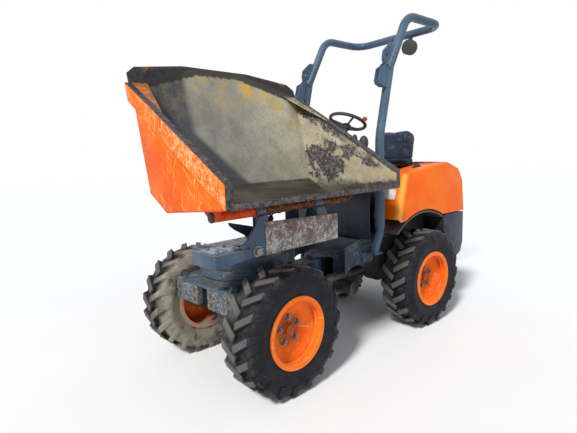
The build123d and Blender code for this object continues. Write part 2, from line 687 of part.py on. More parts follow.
def steering_column():
    box_line = [(GUARD_Y + 8 + SEAT_GAP, FLOOR_Z - 8 + SEAT_GAP), (350, FLOOR_Z - 8 + SEAT_GAP), (350, 1250),
                (380, 1420), (300, 1440), (GUARD_Y + 8 + SEAT_GAP, 1250)]
    box = side_cut(box_line, -110, 110)
    axis = Vector(*WHEEL_AXIS).normalized()
    under = Vector(*WHEEL_RING_AT) - axis * (WHEEL_BOSS_LOW + SEAT_GAP)
    return box + bar(tuple(under - axis * 190), tuple(under), 22)


def steering_wheel():
    """Three-spoked wheel, laid out flat and then tipped back towards the seat."""
    wheel = Torus(WHEEL_RING_R, WHEEL_GRIP_R) + Pos(0, 0, 17 - WHEEL_BOSS_LOW) * Cylinder(34, 34)
    for angle in (90, 210, 330):
        tip = (WHEEL_RING_R * cos(radians(angle)), WHEEL_RING_R * sin(radians(angle)), -2)
        wheel = wheel + bar((0, 0, -36), tip, 8)
    return Plane(origin=WHEEL_RING_AT, x_dir=(1, 0, 0), z_dir=WHEEL_AXIS).location * wheel


def control_levers():
    levers = None
    for x, height in ((150, 95), (185, 80)):
        lever = bar((x, 330, 1250), (x + 8, 345, 1250 + height + 60), 8)
        lever = lever + Pos(x + 8, 345, 1250 + height + 70) * Sphere(20)
        levers = lever if levers is None else levers + lever
    stand = block(110 + SEAT_GAP, 210, 290, 370, 1180, 1262)
    return levers + stand


def hydraulic_filter():
    return bar((112 + SEAT_GAP, 160, 370), (278, 160, 370), 48)


def bonnet_outline(inset):
    return [
        (398 + inset, BODY_LOW + 34 - 60 * (inset > 0)),
        (486 + inset, 1210 - inset),
        (1070, 1282 - inset),
        (1240, 1225 - inset),
        (1298 - inset, 1140),
        (BODY_REAR - inset, BODY_LOW - 60 * (inset > 0)),
        (430 + inset, BODY_LOW - 60 * (inset > 0)),
    ]


def bonnet():
    def form(inset):
        outer = side_cut(bonnet_outline(inset), inset - BODY_HALF, BODY_HALF - inset)
        return outer - block(-SEAT_BAY - inset, SEAT_BAY + inset, 300, 1062 + inset, 700, 1500)

    arch = Pos(0, AXLE_Y, WHEEL_Z) * Rot(0, 90, 0) * Cylinder(ARCH_R, 2 * BODY_HALF + 20)
    lug_line = [(BODY_REAR - 9, 885), (BODY_REAR - 7, 862), (BODY_HINGE_Y - 6, BODY_HINGE_Z - 10),
                (BODY_HINGE_Y + 8, BODY_HINGE_Z - 8), (BODY_HINGE_Y + 9, BODY_HINGE_Z + 8), (BODY_REAR, 892)]
    lug = side_cut(lug_line, BODY_HINGE_X - 6, BODY_HINGE_X + 6)
    pin = bar((BODY_HINGE_X - 17, BODY_HINGE_Y, BODY_HINGE_Z), (BODY_HINGE_X + 17, BODY_HINGE_Y, BODY_HINGE_Z), 6)
    return form(0) - form(BODY_WALL) - arch + both_sides(lug + pin)


# ---- roll-over frame ----
def post_y(z):
    """Centre line of a post, and above the fold of the hoop's leg, which leans further back."""
    fold_y = POST_Y + LEAN * (FOLD_Z - LEAN_Z)
    if z > FOLD_Z:
        return fold_y + HOOP_LEAN * (z - FOLD_Z)
    return POST_Y + LEAN * max(0.0, z - LEAN_Z)


def fold_plane():
    """Where post and hoop part, square to the post."""
    return Plane(origin=(0, post_y(FOLD_Z), FOLD_Z), z_dir=(0, LEAN, 1))


def near_fold(points):
    """(y, z) points laid out from the fold's bolt."""
    return [(FOLD_Y + y, FOLD_Z + z) for y, z in points]


def rops_posts():
    line = [
        (POST_X - 22, 238, 640),
        (POST_X, POST_Y, 800),
        (POST_X, POST_Y, LEAN_Z),
        (POST_X, post_y(FOLD_Z), FOLD_Z),
    ]
    tube = pipe(line, POST_R, (150, 500))
    tube = tube - extrude(fold_plane().offset(-RUN_GAP) * Rectangle(1200, 1200), amount=400)
    sleeve = bar((POST_X, POST_Y, 830), (POST_X, POST_Y, 1085), SLEEVE_R)
    foot = block(SIDE_X, POST_X + 20, 205, 290, 640, 652) + block(SIDE_X, SIDE_X + 12, 205, 320, 560, 700)
    chin = near_fold([(-100, -110), (-90, -135), (-45, -152)]) + [(post_y(1830), 1830)]
    cheek_line = near_fold([(-14, 5), (-78, -30)]) + chin + [(post_y(1960), 1960)] + near_fold([(30, -2), (14, 5)])
    cheek = side_cut(cheek_line, POST_X + 14, POST_X + 22)
    cheek = cheek + bar((POST_X + 14, FOLD_Y, FOLD_Z), (POST_X + 22, FOLD_Y, FOLD_Z), 17)
    floor = side_cut(chin + [(post_y(1870), 1870)], POST_X - 22, POST_X + 22)
    bolt = bar((POST_X - 30, FOLD_Y, FOLD_Z), (POST_X + 30, FOLD_Y, FOLD_Z), FOLD_BOLT_R)
    return both_sides(tube + sleeve + foot + cheek + Pos(-36, 0, 0) * cheek + floor + bolt)


def rops_hoop():
    bend_y = post_y(HOOP_TOP)
    line = [
        (POST_X, post_y(FOLD_Z), FOLD_Z),
        (POST_X, bend_y, HOOP_TOP),
        (POST_X, HOOP_REAR, HOOP_TOP),
        (-POST_X, HOOP_REAR, HOOP_TOP),
        (-POST_X, bend_y, HOOP_TOP),
        (-POST_X, post_y(FOLD_Z), FOLD_Z),
    ]
    tube = pipe(line, POST_R, (HOOP_BEND_FRONT, HOOP_BEND, HOOP_BEND, HOOP_BEND_FRONT))
    tube = tube - extrude(fold_plane().offset(RUN_GAP) * Rectangle(1200, 1200), amount=-400)
    fin_line = near_fold([(12, 9), (-13, -6), (-22, 16), (-31, 40), (-20, 97), (60, 163)])
    fin_line = fin_line + [(post_y(2140), 2140), (post_y(2020), 2020)] + near_fold([(26, 13)])
    fin = side_cut(fin_line, POST_X - 9, POST_X + 9)
    fin = fin + bar((POST_X - 9, FOLD_Y, FOLD_Z), (POST_X + 9, FOLD_Y, FOLD_Z), 15)
    hole = bar((POST_X - 30, FOLD_Y, FOLD_Z), (POST_X + 30, FOLD_Y, FOLD_Z), FOLD_BOLT_R + RUN_GAP)
    lock = bar((POST_X - 30, FOLD_Y + 12, FOLD_Z + 66), (POST_X + 30, FOLD_Y + 12, FOLD_Z + 66), 11)
    return tube + both_sides(fin - hole - lock)


def work_lamp():
    """Round lamp on a short stem under the hoop's cross bar."""
    top = HOOP_TOP - POST_R - SEAT_GAP
    lamp_y = HOOP_REAR - 25
    stem = block(LAMP_X - 9, LAMP_X + 9, lamp_y - 6, HOOP_REAR + 6, top - 30, top)
    bowl = bar((LAMP_X, lamp_y - 30, top - 80), (LAMP_X, lamp_y + 26, top - 80), LAMP_R)
    return stem + bowl


# ---- rams: each is laid out along +X from its foot pin, then turned into place ----
def ram(length, barrel_end, bore_start, rod_start, barrel_r, rod_r, eye_half):
    """Barrel and rod of one ram, its pins along Y, its head eye at x = length."""
    foot = Rot(90, 0, 0) * Cylinder(24, 2 * eye_half)
    pin_hole = Rot(90, 0, 0) * Cylinder(RAM_PIN_R + RUN_GAP, 4 * eye_half)
    tube = bar((16, 0, 0), (barrel_end, 0, 0), barrel_r)
    bore = bar((bore_start, 0, 0), (barrel_end + 10, 0, 0), rod_r + PIVOT_FIT)
    barrel = foot + tube - pin_hole - bore
    head = Pos(length, 0, 0) * Rot(90, 0, 0) * Cylinder(22, 2 * eye_half)
    head_hole = Pos(length, 0, 0) * Rot(90, 0, 0) * Cylinder(RAM_PIN_R + RUN_GAP, 4 * eye_half)
    rod = bar((rod_start, 0, 0), (length - 12, 0, 0), rod_r) + head - head_hole
    return barrel, rod


def steer_ram():
    head = in_front(Pos(STEER_RAM_X, -STEER_RAM_FRONT, 0) * Vertex(0, 0, 0)).center()
    foot = Vector(STEER_RAM_X, STEER_RAM_REAR, 0)
    along = Vector(head.X, head.Y, 0) - foot
    barrel, rod = ram(along.length, 400, 80, 165, 30, 15, 20)
    place = Plane(origin=(foot.X, foot.Y, STEER_RAM_Z), x_dir=along, z_dir=along.cross(Vector(0, 0, 1))).location
    return place * barrel, place * rod


def tip_ram():
    foot = skip_point((TIP_RAM_FOOT[0], 0, TIP_RAM_FOOT[1]))
    head = skip_point((TIP_RAM_HEAD[0], 0, TIP_RAM_HEAD[1]))
    along = head - foot
    barrel, rod = ram(along.length, 236, 38, 46, 32, 16, 20)
    place = Plane(origin=foot, x_dir=along, z_dir=along.cross(Vector(-1, 0, 0))).location
    return place * barrel, place * rod


def build():
    walls = skip_walls()
    steer_barrel, steer_rod = steer_ram()
    tip_barrel, tip_rod = tip_ram()
    parts = wheels()
    front = {
        "front_deck": front_deck(),
        "front_rails": front_rails(),
        "front_tail": front_tail(),
        "front_guards": front_guards(),
        "front_axle": axle_body(-AXLE_Y),
        "ring_lower": lower_ring(),
    }
    swing = {
        "ring_upper": upper_ring(),
        "swing_frame": swing_frame(),
        "swing_panel": swing_panel(),
        "skip_floor": skip_floor(walls),
        "skip_side_left": walls["left"],
        "skip_side_right": walls["right"],
        "skip_back": skip_back(walls),
        "skip_rim": skip_rim(),
        "skip_hinge": skip_hinge(),
        "tip_ram_barrel": tip_barrel,
        "tip_ram_rod": tip_rod,
    }
    rear = {
        "rear_frame": rear_frame(),
        "rear_axle": axle_body(AXLE_Y),
        "footwell": footwell(),
        "wheel_arches": wheel_arches(),
        "counterweight": counterweight(),
        "tow_hitch": tow_hitch(),
        "engine_block": engine_block(),
        "seat_base": seat_base(),
        "seat_cushion": seat_cushion(),
        "seat_back": seat_back(),
        "steering_column": steering_column(),
        "steering_wheel": steering_wheel(),
        "control_levers": control_levers(),
        "hydraulic_filter": hydraulic_filter(),
        "bonnet": bonnet(),
        "rops_posts": rops_posts(),
        "rops_hoop": rops_hoop(),
        "work_lamp": work_lamp(),
        "steer_ram_barrel": steer_barrel,
        "steer_ram_rod": steer_rod,
    }
    parts.update({name: in_front(shape) for name, shape in front.items()})
    parts.update({name: in_swing(shape) for name, shape in swing.items()})
    parts.update(rear)
    return parts


def origin_shift(parts):
    """From the articulation pin to the ground under the middle of the overall box."""
    boxes = [shape.bounding_box() for shape in parts.values()]
    middle_x = (min(box.min.X for box in boxes) + max(box.max.X for box in boxes)) / 2
    middle_y = (min(box.min.Y for box in boxes) + max(box.max.Y for box in boxes)) / 2
    return Pos(-middle_x, -middle_y, 0)


PARTS = build()
SHIFT = origin_shift(PARTS)
os.makedirs("parts", exist_ok=True)
for node, shape in PARTS.items():
    export_step(SHIFT * shape, f"parts/{node}.step")
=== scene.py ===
import bmesh
import bpy
import json
import math
from mathutils import Matrix, Vector


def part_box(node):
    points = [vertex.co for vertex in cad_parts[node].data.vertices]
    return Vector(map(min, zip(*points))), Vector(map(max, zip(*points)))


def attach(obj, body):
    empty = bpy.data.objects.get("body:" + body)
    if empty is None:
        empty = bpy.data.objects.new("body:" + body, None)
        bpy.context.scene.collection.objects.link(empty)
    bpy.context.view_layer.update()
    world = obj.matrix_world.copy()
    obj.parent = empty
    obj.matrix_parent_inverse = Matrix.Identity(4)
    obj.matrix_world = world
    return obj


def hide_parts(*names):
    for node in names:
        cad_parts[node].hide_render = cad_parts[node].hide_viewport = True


# Looks of an articulated site dumper with a swivel skip, in metres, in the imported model's frame:
# +X is the machine's own left, -Y is ahead and +Z is up.
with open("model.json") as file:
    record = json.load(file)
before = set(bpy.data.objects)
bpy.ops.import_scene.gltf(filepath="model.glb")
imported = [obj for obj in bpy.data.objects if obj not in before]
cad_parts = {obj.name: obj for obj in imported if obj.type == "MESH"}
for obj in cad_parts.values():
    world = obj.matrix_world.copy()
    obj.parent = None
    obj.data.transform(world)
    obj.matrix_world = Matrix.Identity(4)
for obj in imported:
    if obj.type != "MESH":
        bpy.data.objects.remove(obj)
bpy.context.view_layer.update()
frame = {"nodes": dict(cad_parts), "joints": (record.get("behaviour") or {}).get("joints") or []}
NODES = frame["nodes"]
JOINTS = {joint["name"]: joint for joint in frame["joints"]}
UP = Vector((0, 0, 1))
REAR_LEFT = Vector((1, 0, 0))


def joint_at(name):
    return Vector(JOINTS[name]["pos_m"])


def joint_axis(name):
    return Vector(JOINTS[name]["axis"]).normalized()


def wheel_place(end, side):
    """A wheel's middle, and its axis away from the machine."""
    spin = f"wheel_{end}_{side}_spin"
    return joint_at(spin), joint_axis(spin) * (1.0 if side == "left" else -1.0)


# ---- places on the chassis halves, as parked ----
PIN = Vector((joint_at("steer").x, joint_at("steer").y, 0))
RING = Vector((joint_at("skip_swivel").x, joint_at("skip_swivel").y, 0))
FRONT_LEFT = joint_axis("wheel_front_left_spin")
FRONT_BACK = UP.cross(FRONT_LEFT)
SKIP_AHEAD = FRONT_LEFT
SKIP_LEFT = FRONT_BACK
HINGE = joint_at("skip_tip")
FOLD = joint_at("rops_fold")


def rear_place(x, y, z):
    """On the rear chassis, from the articulation pin."""
    return PIN + Vector((x, y, z))


def front_place(x, y, z):
    """On the turned front chassis, from the articulation pin."""
    return PIN + FRONT_LEFT * x + FRONT_BACK * y + UP * z


def swing_place(ahead, left, z):
    """On the swing frame and skip, from the ring's axis."""
    return RING + SKIP_AHEAD * ahead + SKIP_LEFT * left + UP * z


# ---- procedural materials ----
def new_node(tree, kind, inputs, output=0, **settings):
    """What comes out of a new node with these settings. An input is a value or what comes out of another node."""
    node = tree.nodes.new(kind)
    for key, value in settings.items():
        setattr(node, key, value)
    for key, value in inputs.items():
        join(tree, value, node.inputs[key])
    return node.outputs[output]


def join(tree, value, socket):
    if isinstance(value, bpy.types.NodeSocket):
        tree.links.new(value, socket)
    else:
        socket.default_value = (*value, 1.0) if socket.type == "RGBA" else value


def operator(operation, swapped=False):
    """A method of Field that makes a Math node."""
    def method(field, other=0.0):
        return field.look.calc(operation, other, field) if swapped else field.look.calc(operation, field, other)
    return method


class Field:
    """A number, vector or colour that varies over a surface. Numbers take + - * ** and abs, and | is the larger."""

    __add__ = operator("ADD")
    __radd__ = operator("ADD", swapped=True)
    __sub__ = operator("SUBTRACT")
    __rsub__ = operator("SUBTRACT", swapped=True)
    __mul__ = operator("MULTIPLY")
    __pow__ = operator("POWER")
    __or__ = operator("MAXIMUM")
    __abs__ = operator("ABSOLUTE")

    def __init__(self, look, socket):
        self.look = look
        self.socket = socket

    def band(self, low, high):
        """0 under low, 1 over high, and smooth between. A low over a high turns it round."""
        turned = low > high
        ends = {"Value": self, "From Min": min(low, high), "From Max": max(low, high),
                "To Min": 1.0 if turned else 0.0, "To Max": 0.0 if turned else 1.0}
        return self.look.node("MapRange", ends, "Result", interpolation_type="SMOOTHSTEP")

    def lay(self, mask, over):
        """Lays another colour over this one, where a mask is 1."""
        self.socket = self.look.mix(mask, self, over).socket


class Look:
    """A material made of nodes. Its patterns are measured in metres in the part's own frame, at rest."""

    def __init__(self, name, roughness=0.5, metallic=0.0):
        self.material = bpy.data.materials.new(name)
        self.material.use_nodes = True
        self.tree = self.material.node_tree
        self.surface = self.tree.nodes["Principled BSDF"].inputs
        self.surface["Roughness"].default_value = roughness
        self.surface["Metallic"].default_value = metallic
        coordinates = self.tree.nodes.new("ShaderNodeTexCoord")
        self.place = Field(self, coordinates.outputs["Object"])
        self.facing = Field(self, coordinates.outputs["Normal"])

    def node(self, kind, inputs, output=0, **settings):
        """The field that comes out of a new shader node."""
        plain_inputs = {key: getattr(value, "socket", value) for key, value in inputs.items()}
        return Field(self, new_node(self.tree, f"ShaderNode{kind}", plain_inputs, output, **settings))

    def calc(self, operation, a, b=0.0, clamp=False):
        return self.node("Math", {0: a, 1: b}, operation=operation, use_clamp=clamp)

    def vector(self, operation, a, b=(0.0, 0.0, 0.0)):
        output = "Value" if operation in ("DOT_PRODUCT", "LENGTH") else "Vector"
        return self.node("VectorMath", {0: a, 1: b}, output, operation=operation)

    def away(self, origin):
        """The way from an origin to a point."""
        return self.vector("SUBTRACT", self.place, tuple(origin))

    def along(self, direction, origin=(0.0, 0.0, 0.0)):
        """How far a point lies along a direction from an origin."""
        return self.vector("DOT_PRODUCT", self.away(origin), tuple(direction))

    def faces(self, direction):
        return self.vector("DOT_PRODUCT", self.facing, tuple(direction))

    def noise(self, size, detail=5.0, rough=0.6, stretch=(1.0, 1.0, 1.0), seed=0.0, warp=0.0, turn=0.0):
        place = self.place
        if turn:
            place = self.node("Mapping", {"Rotation": (turn, turn, 0.0), "Vector": place})
        place = self.node("Mapping", {"Location": (seed, seed * 1.7, seed * 0.6), "Vector": place,
                                      "Scale": [share / size for share in stretch]})
        return self.node("TexNoise", {"Vector": place, "Scale": 1.0, "Detail": detail, "Roughness": rough,
                                      "Distortion": warp}, "Fac")

    def spots(self, low, high, size, detail=5.0, rough=0.6, seed=0.0):
        """Noise that is cut off between two levels."""
        return self.noise(size, detail, rough, seed=seed).band(low, high)

    def mix(self, amount, a, b):
        """A colour between a and b."""
        return self.node("Mix", {0: amount, 6: a, 7: b}, 2, data_type="RGBA")

    def blend(self, amount, a, b):
        """A number between a and b."""
        return self.node("Mix", {0: amount, 2: a, 3: b}, data_type="FLOAT")

    def edges(self, width, low=0.03, high=0.22):
        """Near an edge of the piece."""
        rounded = self.node("Bevel", {"Radius": width}, "Normal", samples=4)
        plain_normal = self.node("NewGeometry", {}, "Normal")
        return (1.0 - self.vector("DOT_PRODUCT", rounded, plain_normal)).band(low, high)

    def corners(self, reach):
        """In a corner or under something, where dirt stays."""
        return self.node("AmbientOcclusion", {"Distance": reach}, "AO", samples=4).band(0.75, 0.25)

    def scratches(self, size, low, high, turn, seed=0.0):
        """Thin marks that run along one direction."""
        return self.noise(size, 3, 0.5, (1.0, 1.0, 14.0), seed, 0.4, turn).band(low, high)

    def paint(self, colour, roughness, bump=None, bump_size=0.002, coat=0.0, specular=0.5):
        """Sets the shader. The bump is a pattern, and its size a height in metres."""
        ends = {"Base Color": colour, "Roughness": roughness, "Specular IOR Level": specular, "Coat Weight": coat,
                "Coat Roughness": 0.25}
        if bump is not None:
            ends["Normal"] = self.node("Bump", {"Strength": 0.7, "Distance": bump_size, "Height": bump}, "Normal")
        for name, value in ends.items():
            join(self.tree, getattr(value, "socket", value), self.surface[name])
        return self.material


SLATE = (0.028, 0.052, 0.086)
SLATE_LIGHT = (0.048, 0.082, 0.128)
DUST = (0.34, 0.31, 0.25)
EARTH = (0.19, 0.155, 0.105)
RUST = (0.115, 0.040, 0.018)
BARE = (0.30, 0.29, 0.27)
CHALK = (0.52, 0.50, 0.45)
SPRAY = (0.022, 0.018, 0.014)
MUD_COLOUR = (0.30, 0.275, 0.21)
SCOURED = (0.032, 0.025, 0.028)
ORANGE = (0.92, 0.185, 0.008)
ORANGE_DEEP = (0.80, 0.120, 0.004)
PURPLE_RUST = (0.090, 0.074, 0.082)
HALF_BODY = (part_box("counterweight")[1].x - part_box("counterweight")[0].x) / 2
BONNET_FACE = rear_place(0.384, 0.4365, 1.062)  # on the bonnet's sloping front
BONNET_FRONT = Vector((0, -0.352, 0.088)).normalized()
DISH_FACE = 0.021  # outer face of a wheel's dish, outboard of the wheel's middle
SPRAY_REACH = 0.59  # of road dirt, from an axle
TREAD_RADIUS = 0.3725  # where a tyre's crown begins
SKIP_MIDDLE = swing_place(0.33, 0.0, 1.42)
BACK_EDGE, BACK_EDGE_FLAT, BACK_EDGE_FALL = 1.955, 0.165, 0.30  # height, half length and fall towards the corners
SIDE_EDGE, SIDE_EDGE_FALL = 1.711, 0.611  # height abreast of the ring's axis, and fall towards the lip
SCRAPE_HEIGHT, SCRAPE_FALL = 1.532, 0.404  # the same of the long rust scrape on the left wall
BLOTCH_AHEAD, BLOTCH_HEIGHT = 0.135, 1.325  # middle of the left wall's big rust blotch
SHADE_FOOT = 1.53  # height over which the edge of the painted shadow on the inside's left part stands upright
GOLD_STAINS = (((0.21, 1.835), 0.065), ((0.36, 1.800), 0.040), ((0.47, 1.730), 0.045))  # (left, height), reach


def slate_paint(name, dirt, seed, bright=1.0, axle=None):
    """Slate blue paint under dust and splashes of mortar, rusty on its edges and dark with road dirt by an axle. Its
    brightness makes lighter and darker copies of the paint, which some parts use as painted light and others as
    painted shade.
    """
    look = Look(name)
    dark = tuple(part * bright for part in SLATE)
    light = tuple(part * bright for part in SLATE_LIGHT)
    colour = look.mix(look.spots(0.35, 0.65, 0.3, 4, seed=seed), dark, light)
    height = look.along(UP).band(0.95, 0.35)
    film = look.spots(0.5, 0.72, 0.09, 6, 0.7, seed + 3) * (0.55 * dirt)
    film = film * look.blend(height, 0.35, 1.0)
    colour.lay(film, EARTH)
    patches = look.spots(0.58 - 0.1 * dirt, 0.7 - 0.1 * dirt, 0.12, 3, seed=seed + 7)
    specks = look.spots(0.56, 0.62, 0.009, 3, 0.6, seed + 5) * patches
    colour.lay(specks * min(1.0, 0.75 * dirt), look.mix(look.noise(0.03, 2), EARTH, CHALK))
    top = look.faces(UP).band(0.6, 0.95)
    settled = top * look.spots(0.42, 0.7, 0.05, 5, seed=seed + 9) * (0.45 * dirt)
    colour.lay(settled, DUST)
    chipped = look.edges(0.004) * look.spots(0.46, 0.6, 0.03, 4, seed=seed + 11)
    colour.lay(chipped * 0.85, look.mix(look.noise(0.01, 3), RUST, BARE))
    corner = look.corners(0.06) * (0.55 * dirt)
    colour.lay(corner, EARTH)
    if axle is not None:
        offset = look.vector("MULTIPLY", look.away(axle), (0.0, 1.0, 1.0))
        ragged = look.vector("LENGTH", offset) + look.noise(0.08, 5) * 0.06
        inner = abs(look.along(REAR_LEFT, PIN)).band(HALF_BODY - 0.006, HALF_BODY - 0.012)
        colour.lay(inner * ragged.band(SPRAY_REACH, SPRAY_REACH - 0.04) * 0.85, SPRAY)
    rough = look.calc("ADD", 0.36, (film | settled) * 0.8, clamp=True)
    return look.paint(colour, rough, look.noise(0.012, 6, 0.7, seed=seed), 0.0008, specular=0.25)


def caked(name):
    """Slate paint under a crust of grit and mortar."""
    look = Look(name)
    grit = look.mix(look.spots(0.42, 0.6, 0.012, 5, 0.75), (0.045, 0.042, 0.038), (0.27, 0.25, 0.215))
    pale = look.spots(0.6, 0.66, 0.007, 3, 0.6, 3.0)
    grit.lay(pale * 0.8, CHALK)
    crust = look.spots(0.34, 0.52, 0.07, 6, 0.75, 5.0)
    colour = look.mix(crust * 0.9, SLATE_LIGHT, grit)
    height = look.noise(0.01, 4, 0.7) * look.blend(crust, 0.2, 1.0)
    return look.paint(colour, 0.8, height, 0.006, specular=0.25)


def wheel_paint(name, seed, centre, outward, mud):
    """Orange paint, scratched through to pale primer and steel, greasy at the hub and muddy inboard."""
    look = Look(name)
    colour = look.mix(look.spots(0.35, 0.65, 0.22, 4, seed=seed), ORANGE_DEEP, ORANGE)
    thin = look.scratches(0.2, 0.66, 0.72, 0.35, seed) | look.scratches(0.14, 0.67, 0.72, -0.5, seed + 4)
    where = look.spots(0.42, 0.62, 0.25, 3, seed=seed + 8)
    colour.lay(thin * where * 0.675, (0.78, 0.5, 0.3))
    scuffs = look.spots(0.6, 0.7, 0.035, 6, 0.75, seed + 2) * where
    colour.lay(scuffs * 0.63, CHALK)
    edge = look.edges(0.005) * look.spots(0.4, 0.58, 0.02, 4, seed=seed + 6)
    colour.lay(edge * 0.81, look.mix(look.noise(0.008, 3), RUST, BARE))
    corner = look.corners(0.05) * look.spots(0.35, 0.65, 0.05, 5, seed=seed + 12)
    colour.lay(corner * 0.675, EARTH)
    radius = look.vector("LENGTH", look.away(centre + outward * DISH_FACE))
    rings = look.calc("SINE", radius * 260.0).band(0.2, 0.9)
    chalky = rings * look.spots(0.52, 0.62, 0.05, 5, 0.7, seed + 20) * 0.35
    colour.lay(chalky, (0.8, 0.42, 0.22))
    grease = radius + look.noise(0.04, 5, 0.7, seed=seed + 21) * 0.09
    colour.lay(grease.band(0.165, 0.105) * 0.62, (0.13, 0.045, 0.014))
    inboard = look.along(outward, centre).band(0.01, -0.02)
    muddy = inboard * look.spots(0.3, 0.5, 0.07, 5, 0.7, seed + 22)
    colour.lay(muddy * mud, MUD_COLOUR)
    rough = look.blend(thin | scuffs, 0.4, 0.75)
    return look.paint(colour, rough, look.noise(0.02, 5, 0.7, seed=seed), 0.0008, specular=0.15)


def bonnet_paint(name):
    """Clean orange, yellower along its front corners with a painted highlight over paint worn yellow there, and
    chipped to cream at their feet.
    """
    look = Look(name)
    low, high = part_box("bonnet")
    colour = look.mix(look.spots(0.35, 0.65, 0.25, 4, seed=2.0), (0.82, 0.115, 0.001), (0.86, 0.155, 0.002))
    front = look.along(BONNET_FRONT, BONNET_FACE)
    beside = abs(look.along(REAR_LEFT, PIN)) - (high.x - low.x) / 2
    corner = front * -1.0 + beside * -1.0
    ragged = corner + look.noise(0.05, 5, 0.7, seed=3.0) * 0.02
    # painted highlight along the rounded front corners, over paint worn yellow there
    highlight_and_wear = ragged.band(0.075, 0.03) * front.band(-0.1, -0.06)
    colour.lay(highlight_and_wear * 0.7, (0.93, 0.46, 0.07))
    foot = look.along(UP) - low.z
    chipped = (foot | (corner * 0.55)) + look.noise(0.03, 6, 0.78, seed=5.0) * 0.09
    chipped = chipped.band(0.082, 0.07) * front.band(-0.09, -0.07)
    cream = look.mix(look.spots(0.46, 0.6, 0.016, 5, 0.75, 6.0), (0.7, 0.66, 0.44), (0.4, 0.27, 0.1))
    colour.lay(chipped * 0.9, cream)
    hem = (foot + look.noise(0.02, 5, seed=8.0) * 0.012).band(0.022, 0.016) * front.band(-0.06, -0.04)
    colour.lay(hem * 0.75, (0.6, 0.5, 0.22))
    thin = look.scratches(0.16, 0.64, 0.7, 0.6, 2.0)
    colour.lay(thin * 0.12, (0.9, 0.38, 0.12))
    return look.paint(colour, look.blend(chipped, 0.42, 0.75), look.noise(0.02, 5, 0.7), 0.0006, coat=0.12,
                      specular=0.12)


def wall_worn(look, seed, side, behind):
    """The scoured inside of the skip: mortar-grey steel, yellow stains high up and dark rust on the left wall. It
    greys towards the right wall, partly as painted shade, and carries a painted shadow of the right wall beside it.
    """
    high = look.along(UP)
    ahead = look.along(SKIP_AHEAD, RING)
    left = look.along(SKIP_LEFT, RING)
    # grey towards the right wall and khaki towards the left wall: partly the steel's own tint, partly painted shade
    khaki_and_shade = left.band(-0.1, 0.6)
    low_down = (SHADE_FOOT - high) | 0.0
    # a painted shadow of the right wall over the inside next to it, its edge upright above SHADE_FOOT and slanting
    # below
    painted_shadow = (left - low_down).band(-0.24, -0.31)
    colour = look.mix(look.spots(0.36, 0.66, 0.16, 6, 0.65, seed),
                      look.mix(khaki_and_shade, (0.215, 0.205, 0.18), (0.4, 0.37, 0.265)),
                      look.mix(khaki_and_shade, (0.31, 0.295, 0.25), (0.54, 0.505, 0.37)))
    # the painted shadow, laid on as dark blue-grey
    colour.lay(painted_shadow * 0.86, (0.03, 0.036, 0.05))
    grain = look.spots(0.42, 0.62, 0.011, 3, 0.6, seed + 1) * 0.32
    colour.lay(grain, (0.16, 0.15, 0.13))
    under = edge_height(ahead, left, behind) - high
    stain = look.spots(0.42, 0.6, 0.1, 5, 0.7, seed + 5) * under.band(0.34, 0.16)
    colour.lay(stain * look.blend(painted_shadow, 0.6, 0.2), (0.4, 0.285, 0.12))
    if behind:
        for spot, reach in GOLD_STAINS:
            away = look.vector("MULTIPLY", look.away(swing_place(-0.2, *spot)), (0.1, 1.0, 1.0))
            rough_edge = look.vector("LENGTH", away) + look.noise(0.035, 6, 0.75, seed=seed + 6) * 0.2
            gold = rough_edge.band(reach + 0.115, reach + 0.06)
            colour.lay(gold * 0.75, (0.56, 0.35, 0.05))
    elif side > 0:
        colour = left_wall_rust(look, colour, ahead, high, under, seed)
    ragged = under + look.noise(0.04, 5, 0.7, seed=seed + 7) * 0.05
    depth = 0.08 if behind else 0.045
    colour.lay(ragged.band(depth + 0.01, depth - 0.006) * 0.92, (0.034, 0.029, 0.029))
    # darker brown low on the walls by the floor: dirt with painted shade, as on the floor
    foot = high + look.noise(0.1, 5, 0.6, seed=seed + 12) * 0.16
    colour.lay(foot.band(1.3, 1.22) * 0.8, (0.075, 0.062, 0.048))
    specks = look.spots(0.64, 0.7, 0.014, 3, 0.6, seed + 14)
    return look.mix(specks * 0.55, colour, (0.1, 0.08, 0.065))


def edge_height(ahead, left, behind):
    """Height of the skip's top edge: level behind and falling to its corners, or sloping along a side."""
    if behind:
        outer = (abs(left) - BACK_EDGE_FLAT) | 0.0
        return BACK_EDGE - outer * BACK_EDGE_FALL
    return SIDE_EDGE - ahead * SIDE_EDGE_FALL


def left_wall_rust(look, colour, ahead, high, under, seed):
    """A big blotch, a long scrape with islands beside it, and a rusty top edge."""
    noise = look.noise(0.085, 7, 0.72, seed=seed + 9, warp=0.5) - 0.5
    across = (ahead - BLOTCH_AHEAD) * (1 / 0.19)
    up = (high - BLOTCH_HEIGHT) * (1 / 0.15)
    spread = look.calc("SQRT", across ** 2.0 + up ** 2.0)
    blotch = (spread + noise * 3.6).band(1.02, 0.86)
    line = high - SCRAPE_HEIGHT + ahead * SCRAPE_FALL
    scrape = (abs(line) + noise * 0.16).band(0.022, 0.008)
    reach = ahead.band(0.1, 0.16) * ahead.band(0.66, 0.58)
    islands = (abs(line + -0.015) + noise * 0.42).band(0.03, 0.012)
    islands = islands * (ahead.band(0.28, 0.34) * ahead.band(0.6, 0.52))
    top = (under + noise * 0.22).band(0.085, 0.065) * ahead.band(0.42, 0.25)
    low = high - (1.09 + ahead * 0.088)
    bottom = (low + noise * 0.16).band(0.05, 0.03) * ahead.band(0.2, 0.36)
    rust = ((scrape * reach) | islands) | (blotch | (top | bottom))
    fleck = look.spots(0.4, 0.52, 0.022, 5, 0.72, seed + 10)
    rusty = look.mix(look.noise(0.02, 4), PURPLE_RUST, (0.06, 0.046, 0.05))
    return look.mix(rust * look.blend(fleck, 0.55, 1.0), colour, rusty)


